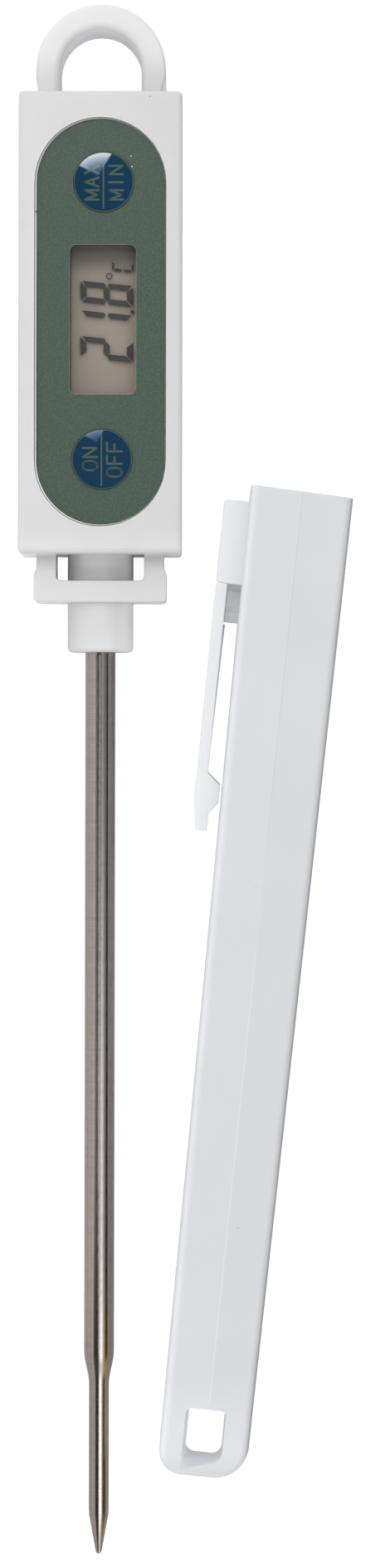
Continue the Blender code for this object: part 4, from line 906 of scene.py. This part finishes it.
def digit_outlines(left, right, shown_bars):
    """The leaning mitred bars of a digit; they all but touch at their ends."""
    low, middle, high = DIGIT_LOW, DIGIT_MIDDLE, DIGIT_HIGH
    half, inner, gap = BAR_WIDTH / 2, BAR_WIDTH * 0.62, BAR_GAP
    bars = {
        "A": [
            (left - 0.16, high + half), (right + 0.3, high + half),
            (right - inner, high - half), (left + inner, high - half),
        ],
        "D": [
            (left - 0.3, low - half), (right + 0.16, low - half),
            (right - inner, low + half), (left + inner, low + half),
        ],
        "G": [
            (left + 0.1, middle), (left + inner, middle + half), (right - inner, middle + half),
            (right - 0.1, middle), (right - inner, middle - half), (left + inner, middle - half),
        ],
    }
    uprights = [("B", right, 1, high, 1), ("F", left, -1, high, 1)]
    uprights += [("C", right, 1, low, -1), ("E", left, -1, low, -1)]
    for name, x, side, end, up in uprights:
        outer, inward = x + side * half * 0.92, x - side * half * 0.92
        bars[name] = [
            (outer, end + up * (half * 0.55 - gap)),
            (outer, middle + up * half * 0.8),
            (x, middle + up * gap * 2),
            (inward, middle + up * (half + gap)),
            (inward, end - up * (half + gap)),
            (x, end - up * gap * 3),
        ]
    return [[(a + DIGIT_LEAN * (b - middle), b) for a, b in bars[name]] for name in shown_bars]


def add_segment(bm, outline):
    points = [(FACE_X - b * MM, FACE_Y + a * MM) for a, b in outline]
    joined(bm, plate(points, SEGMENT_Z - SEGMENT_DEPTH, SEGMENT_Z))


def display():
    """The display's pale ground and its dark segments: digits, point, degree ring and unit."""
    low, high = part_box("display_glass")
    width, length = high.x - low.x, high.y - low.y
    outline = rounded_outline(width, length, GROUND_CORNER, (FACE_X, FACE_Y))
    ground = plate(outline, low.z, GROUND_Z)
    piece("display_ground", ground, "thermometer", [LCD_GROUND], ["display_glass"])
    bm = bmesh.new()
    for left, right, shown_bars in DIGITS:
        for outline in digit_outlines(left, right, shown_bars):
            add_segment(bm, outline)
    add_segment(bm, arc(POINT_MIDDLE, POINT_RADIUS, 0, 345, 23))
    sides = 24
    for i in range(sides):
        start, end = 360 * i / sides, 360 * (i + 1) / sides
        outer = arc(RING_MIDDLE, RING_OUTER, start, end, 1)
        inner = arc(RING_MIDDLE, RING_INNER, end, start, 1)
        add_segment(bm, outer + inner)
    for outline in UNIT_BARS:
        add_segment(bm, outline)
    piece("display_segments", bm, "thermometer", [LCD_DARK])


# Probe

PROBE_HIDDEN = 6.85 * MM
PROBE_WALL = 0.3 * MM
TIP_PROFILE = [(0.18, 0.05), (0.34, 0.2), (0.42, 0.45)]  # (radius, distance from the end) in mm


def probe():
    """The steel probe: stem, eased shoulder, thin needle and conical point."""
    top = HOUSING_LOW + PROBE_HIDDEN
    tip = PROBE_BOX[0].y
    point = tip + POINT_LENGTH
    shoulder = point + NEEDLE_LENGTH
    stem = shoulder + SHOULDER_LENGTH
    profile = [(0.0, tip)]
    profile += [(radius * MM, tip + up * MM) for radius, up in TIP_PROFILE]
    profile += [(NEEDLE_RADIUS - 0.05 * MM, point - 0.35 * MM), (NEEDLE_RADIUS, point + 0.4 * MM)]
    steps = 14
    for i in range(steps + 1):
        share = i / steps
        ease = share * share * (3 - 2 * share)
        radius = NEEDLE_RADIUS + (STEM_RADIUS - NEEDLE_RADIUS) * ease
        profile.append((radius, shoulder + SHOULDER_LENGTH * share))
    profile += [(STEM_RADIUS, stem + (top - stem) * i / 6) for i in range(1, 7)]
    inner = STEM_RADIUS - PROBE_WALL
    profile += [(inner, top), (inner, stem), (0.0, stem)]
    bm = lathe(profile, "Y", (AXIS_X, 0.0, AXIS_Z))
    piece("probe", bm, "thermometer", [STEEL], ["probe_tube"], angle=30)


# Sheath and its clip, where u is the distance down from the sheath's mouth

END_ROUND = 2.9 * MM
END_CORNERS = {-1: 3.4 * MM, 1: 4.8 * MM}
END_WALL = 2.1 * MM
MOUTH_REACH = 20.0 * MM
MOUTH_SLOPE = 0.033
MOUTH_ROUND = 0.18 * MM
SHEATH_EDGE = 1.0 * MM
SHEATH_CROWN = 0.05 * MM
HOLE_LENGTH = 7.3 * MM
HOLE_Y = -(SHEATH_LENGTH - END_WALL - HOLE_LENGTH / 2)
HOLE_REACH = (3.1 * MM, 5.2 * MM)
# The hole's sides are (left, right, low, high, drop of the lower left corner, four corner sizes),
# in millimetres from its middle; its levels are (height, sides).
HOLE_BACK = (-2.45, 2.45, -3.85, 3.5, 0.0, (0.6, 0.6, 1.3, 1.3))
HOLE_FRONT = (-2.9, 2.45, -3.8, 3.55, 1.1, (0.8, 0.8, 0.4, 1.9))
HOLE_LEVELS = [(-12.0, HOLE_BACK), (2.0, HOLE_BACK), (5.6, HOLE_FRONT), (12.0, HOLE_FRONT)]


def narrow_half(u):
    return (MOUTH_NARROW + (END_NARROW - MOUTH_NARROW) * u / SHEATH_LENGTH) / 2


def wide_half(u):
    return (MOUTH_WIDE + (END_WIDE - MOUTH_WIDE) * u / SHEATH_LENGTH) / 2


def end_turn(u, size):
    """How far a side has turned in towards the sheath's rounded end."""
    share = min(max(u - SHEATH_LENGTH + size, 0.0) / size, 1.0)
    return size * (1 - sqrt(max(0.0, 1 - share * share)))


def sheath_ring(u, inset):
    """One ring of the sheath's outside, or of its inside when inset."""
    shrink = inset
    if inset == 0 and u < MOUTH_ROUND:
        shrink += MOUTH_ROUND * (1 - sqrt(max(0.0, 1 - (1 - u / MOUTH_ROUND) ** 2)))
    x = {side: narrow_half(u) - shrink - end_turn(u, size) for side, size in END_CORNERS.items()}
    z = wide_half(u) - shrink - end_turn(u, END_ROUND)
    shrink += end_turn(u, END_ROUND)
    corner = max(SHEATH_EDGE - shrink / 2, 0.3 * MM)
    crown = SHEATH_CROWN if inset == 0 else 0.0
    points = []
    for sx, sz, start in ((1, 1, 0), (-1, 1, 90), (-1, -1, 180), (1, -1, 270)):
        middle = (sx * (x[sx] - corner), sz * (z - corner - crown))
        points += arc(middle, corner, start, start + 90, 10)
        if start in (0, 180):
            points.append((0.0, sz * z))
    square = max(0.0, 1.0 - max(u, 0.0) / MOUTH_REACH)
    tilt = tan(SHEATH_PITCH)
    return [(px, -u + square * (pz * tilt - px * MOUTH_SLOPE), pz) for px, pz in points]


def hole_outline(height, sides):
    left, right, low, high, drop, sizes = sides
    corners = [(right, high, -1, -1), (left, high, 1, -1)]
    corners += [(left, low - drop, 1, 1), (right, low, -1, 1)]
    points = []
    for start, size, (x, y, sx, sy) in zip((0, 90, 180, 270), sizes, corners):
        points += arc((x + sx * size, y + sy * size), size, start, start + 90, 8)
    return [(x * MM, y * MM + HOLE_Y, height * MM) for x, y in points]


def sheath():
    """The hollow sheath with a hole through its closed end, whose walls carry a painted glow."""
    turn = max(END_CORNERS.values())
    start = SHEATH_LENGTH - turn
    places = [u * MM for u in (0.0, 0.02, 0.05, 0.1, 0.18)]
    places += [start * i / 12 for i in range(1, 13)]
    places += [start + turn * sin(radians(90 * i / 24)) for i in range(1, 24)]
    places.append(SHEATH_LENGTH - 0.002 * MM)
    shell = loft([sheath_ring(u, 0.0) for u in places])
    obj = piece("sheath_shell", shell, "probe_sheath", [SHEATH_WHITE], ["sheath"])
    depth = SHEATH_LENGTH - END_WALL - HOLE_LENGTH - END_WALL
    inside = loft([sheath_ring(u, SHEATH_WALL) for u in (-1.0 * MM, depth)])
    cut_away(obj, inside, loft([hole_outline(*level) for level in HOLE_LEVELS]))
    obj.data.materials.append(HOLE_PAINTED_GLOW)
    # The hole's walls take the painted glow.
    for face in obj.data.polygons:
        x, y, z = face.center
        near = abs(x) < HOLE_REACH[0] and abs(y - HOLE_Y) < HOLE_REACH[1]
        if near and abs(face.normal.z) < 0.6 and abs(z) < wide_half(SHEATH_LENGTH):
            face.material_index = 1
    obj.data.transform(SHEATH_PLACE)
    obj.data.shade_smooth()
    obj.data.set_sharp_from_angle(angle=radians(35))
    weighted(obj)


CLIP_OUTER = -MOUTH_NARROW / 2 - 3.3 * MM
CLIP_INNER = CLIP_OUTER + 1.5 * MM
CLIP_WALL = -narrow_half(12.4 * MM) + 0.3 * MM
CLIP_HALF = 3.5 * MM
CLIP_ROUND = 0.45 * MM
ROOT_END = [(CLIP_OUTER, -12.5 * MM), (CLIP_INNER, -12.69 * MM), (CLIP_WALL, -12.69 * MM)]
ROOT_TOP = -1.6 * MM
WEB_BACK = -2.2 * MM
WEB_EDGE = CLIP_INNER + 0.03 * MM
# (u, height of the web's front) in millimetres
WEB_HEIGHTS = [(12.5, 3.3), (13.0, 2.7), (13.6, 1.9), (16.1, 1.9), (16.5, 2.4), (17.8, 2.4)]
GRIP_X = -narrow_half(37.8 * MM) - 0.3 * MM
# (place across, u in millimetres)
ARM_PROFILE = [
    (CLIP_OUTER, 12.7),
    (CLIP_OUTER, 41.6),
    (CLIP_OUTER + 0.6 * MM, 45.25),
    (CLIP_OUTER + 0.75 * MM, 45.4),
    (CLIP_INNER + 0.6 * MM, 45.4),
    (CLIP_INNER + 0.6 * MM, 43.1),
    (GRIP_X, 41.6),
    (GRIP_X, 39.3),
    (CLIP_INNER, 37.8),
    (CLIP_INNER, 12.7),
]
RIB_PROFILE = [
    (CLIP_INNER - 0.7 * MM, 18.1),
    (CLIP_INNER - 0.7 * MM, 35.2),
    (CLIP_INNER, 35.2),
    (CLIP_INNER + 0.25 * MM, 18.1),
]
RIB_HALF = 1.0 * MM


def clip_piece(name, bm, body, material, rounding, replaced=()):
    obj = piece(name, bm, body, [material], replaced, matrix=SHEATH_PLACE)
    bevelled(obj, rounding)


def bar(profile, half):
    """A bar of (place across, u) points between both sides of the clip."""
    return loft([[(x, -u * MM, z) for x, u in profile] for z in (-half, half)])


def clip():
    """The clip's root block and web on the sheath, and its springy arm with a rib and a grip."""
    outline = ROOT_END + [(CLIP_WALL, ROOT_TOP)]
    outline += arc((CLIP_OUTER + CLIP_ROUND, ROOT_TOP - CLIP_ROUND), CLIP_ROUND, 90, 180, 6)
    root = plate(outline, -CLIP_HALF, CLIP_HALF)
    clip_piece("clip_root", root, "probe_sheath", CLIP_PAINTED_LIGHTER, 0.15 * MM)
    rings = []
    for u, front in WEB_HEIGHTS:
        y, z = -u * MM, front * MM
        low = [(WEB_EDGE, y, WEB_BACK), (CLIP_WALL, y, WEB_BACK)]
        rings.append(low + [(CLIP_WALL, y, z), (WEB_EDGE, y, z)])
    clip_piece("clip_web", loft(rings), "probe_sheath", WEB_PAINTED_SHADE, 0.1 * MM)
    arm = bar(ARM_PROFILE, CLIP_HALF)
    clip_piece("clip_arm", arm, "clip", CLIP_PAINTED_LIGHTER, 0.12 * MM, ["pocket_clip"])
    clip_piece("clip_rib", bar(RIB_PROFILE, RIB_HALF), "clip", CLIP_PAINTED_LIGHTER, 0.1 * MM)


# Floor, light and camera

FLOOR_Z = -0.06 * MM
FLOOR_REACH = 2.0


def floor():
    """A pale sheet that stays evenly bright behind the object and takes its light normally."""
    bm = bmesh.new()
    reach = FLOOR_REACH
    corners = ((-reach, -reach), (reach, -reach), (reach, reach), (-reach, reach))
    bm.faces.new([bm.verts.new((x, y, FLOOR_Z)) for x, y in corners])
    obj = shown("floor", bm)
    material = bpy.data.materials.new("pale_floor")
    material.use_nodes = True
    tree = material.node_tree
    tree.nodes.clear()
    paper = put(tree, "TexNoise", Vector=object_place(tree), Scale=400.0, Detail=2.0)
    tone = mixed(tree, paper[0], even(0.73), even(0.77))
    matte = put(tree, "BsdfDiffuse", Color=tone)
    faint = put(tree, "BsdfDiffuse", Color=even(0.22))
    glow = put(tree, "Emission", Color=even(1), Strength=0.9)
    seen = put(tree, "AddShader", _0=faint[0], _1=glow[0])
    path = put(tree, "LightPath")
    looking = calc(tree, "MAXIMUM", path["Is Camera Ray"], path["Is Transmission Ray"])
    both = put(tree, "MixShader", _0=looking, _1=matte[0], _2=seen[0])
    put(tree, "OutputMaterial", _0=both[0])
    obj.data.materials.append(material)


# (direction across the probe, brightness) of the panels and dark flags beside it
PANEL_STOPS = [(-1.0, 0.85), (-0.9, 0.75), (-0.75, 0.95), (-0.6, 0.75), (-0.5, 0.35)]
PANEL_STOPS += [(-0.42, 0.15), (-0.3, 0.12), (-0.12, 0.2), (0.12, 0.22), (0.2, 0.9), (0.46, 1.05)]
PANEL_STOPS += [(0.66, 0.5), (0.79, 0.03), (0.96, 0.0), (0.985, 0.33), (1.0, 0.42)]
# Degrees to the softbox's nearest corner, round and down from overhead, to its middle, and turned
SOFTBOX_ANGLES = (106.9, 7.45, 34.97, -1.7)
SOFTBOX_SKEW = 1.19
SOFTBOX_HALF = 0.45
SOFTBOX_SOFT = 0.004
SOFTBOX_HEAT, SOFTBOX_LEAST = 14.0, 1.8
SOFTBOX_WARM = (0.9895, 0.977)
SOFTBOX_FADE = (0.974, 0.945)
LAMP_LEAN = 0.24
LAMP_STRENGTH = 2.0


def between(tree, value, rising, falling):
    """1 between two soft limits, each a pair of values."""
    below = band(tree, value, *falling, 1.0, 0.0)
    return product(tree, below, band(tree, value, *rising, 0.0, 1.0))


def general_light(tree, x, y, z):
    """Dimmer low down and overhead, a little brighter to the right and past the probe's tip."""
    rise = band(tree, z, 0.0, 0.25, 0.7, 0.9)
    fall = band(tree, z, 0.5, 0.95, 1.0, 0.14, smooth=False)
    side = calc(tree, "MULTIPLY_ADD", x, 0.1, 1.0)
    return product(tree, rise, fall, side, band(tree, y, -0.8, -0.55, 1.35, 1.0))


def panels(tree, lean):
    """The panels and flags, which show as the probe's long streaks."""
    ramp = tree.nodes.new("ShaderNodeValToRGB")
    ramp.color_ramp.interpolation = "LINEAR"
    elements = ramp.color_ramp.elements
    elements.remove(elements[-1])
    elements[0].position = 0.0
    for i, (where, level) in enumerate(PANEL_STOPS):
        item = elements.new((where + 1) / 2) if i else elements[0]
        item.color = even(level)
    feed(tree, ramp.inputs[0], calc(tree, "MULTIPLY_ADD", lean, 0.5, 0.5))
    return put(tree, "SeparateColor", Color=ramp.outputs[0])[0]


def softbox(tree, way, z):
    """Colour and strength of a square softbox, whose bluish corner lies towards the zenith."""
    azimuth, zenith, reach, turn = (radians(angle) for angle in SOFTBOX_ANGLES)
    level = Vector((cos(azimuth), sin(azimuth), 0.0))
    upright = Vector((0.0, 0.0, 1.0))
    corner = level * sin(zenith) + upright * cos(zenith)
    falling = level * cos(zenith) - upright * sin(zenith)
    leaving = falling * cos(turn) + upright.cross(level) * sin(turn)
    center = corner * cos(reach) + leaving * sin(reach)
    outward = leaving * cos(reach) - corner * sin(reach)
    sideways = center.cross(outward) * SOFTBOX_SKEW
    facing = vector(tree, "DOT_PRODUCT", way, center)["Value"]
    front = calc(tree, "MAXIMUM", facing, 0.05)
    sides = []
    for direction in (outward + sideways, outward - sideways):
        far = vector(tree, "DOT_PRODUCT", way, direction.normalized())["Value"]
        away = calc(tree, "ABSOLUTE", calc(tree, "DIVIDE", far, front))
        low, high = SOFTBOX_HALF - SOFTBOX_SOFT, SOFTBOX_HALF + SOFTBOX_SOFT
        sides.append(band(tree, away, low, high, 1.0, 0.0))
    inside = product(tree, *sides, calc(tree, "GREATER_THAN", facing, 0.1))
    warmth = band(tree, z, *SOFTBOX_WARM, smooth=False)
    warm = calc(tree, "POWER", warmth, 1.3)
    heat = calc(tree, "MULTIPLY_ADD", warm, SOFTBOX_HEAT, SOFTBOX_LEAST)
    fade = band(tree, z, *SOFTBOX_FADE, 1.0, 0.08)
    color = mixed(tree, warmth, rgb(0.45, 0.7, 1.0), even(1.0))
    return color, product(tree, inside, product(tree, heat, fade))


def lamp(tree, lean, y):
    """A lamp past the probe's tip, which brightens the steel towards it."""
    aside = calc(tree, "ABSOLUTE", calc(tree, "SUBTRACT", lean, LAMP_LEAN))
    low_x = band(tree, aside, 0.15, 0.25, 1.0, 0.0)
    low_y = between(tree, y, (-0.5, -0.3), (-0.13, -0.07))
    return product(tree, low_x, low_y, LAMP_STRENGTH)


def studio():
    """A white room with a softbox above the upper end, seen as plain white by the camera."""
    world = bpy.data.worlds.new("studio")
    scene.world = world
    world.use_nodes = True
    tree = world.node_tree
    tree.nodes.clear()
    way = put(tree, "TexCoord")["Generated"]
    x, y, z = put(tree, "SeparateXYZ", Vector=way)
    left_over = calc(tree, "SUBTRACT", 1.0, product(tree, y, y))
    across = calc(tree, "SQRT", calc(tree, "MAXIMUM", left_over, 1e-4))
    lean = calc(tree, "DIVIDE", x, across)
    level = general_light(tree, x, y, z)
    beside = between(tree, y, (-0.55, -0.35), (0.3, 0.5))
    sides = panels(tree, lean)
    around = put(tree, "Mix", {"data_type": "FLOAT"}, _0=beside, _2=level, _3=sides)[0]
    strength = calc(tree, "ADD", around, lamp(tree, lean, y))
    color, glow = softbox(tree, way, z)
    white = even(1.0)
    room = put(tree, "Background", Color=white, Strength=strength)
    key = put(tree, "Background", Color=color, Strength=glow)
    light = put(tree, "AddShader", _0=room[0], _1=key[0])
    plain = put(tree, "Background", Color=white, Strength=1.0)
    seen = put(tree, "LightPath")["Is Camera Ray"]
    both = put(tree, "MixShader", _0=seen, _1=light[0], _2=plain[0])
    put(tree, "OutputWorld", _0=both[0])


CAMERA_PLACE = (AXIS_X + 12.566 * MM, -0.28 * MM, 809 * MM)
CAMERA_ANGLE = radians(14.81)
CAMERA_ROLL = 0.0021


def camera():
    data = bpy.data.cameras.new("camera")
    data.sensor_width = 36.0
    data.lens = data.sensor_width / 2 / tan(CAMERA_ANGLE / 2)
    data.clip_start = 0.01
    obj = bpy.data.objects.new("camera", data)
    scene.collection.objects.link(obj)
    obj.location = CAMERA_PLACE
    obj.rotation_euler = (0.0, 0.0, CAMERA_ROLL)
    scene.camera = obj


scene.view_settings.view_transform = "Standard"
dress_nodes()
for key, y in BUTTON_Y.items():
    button_dome(key, y)
    button_letters(key, y)
recess_edge()
film()
display()
probe()
sheath()
clip()
floor()
studio()
camera()
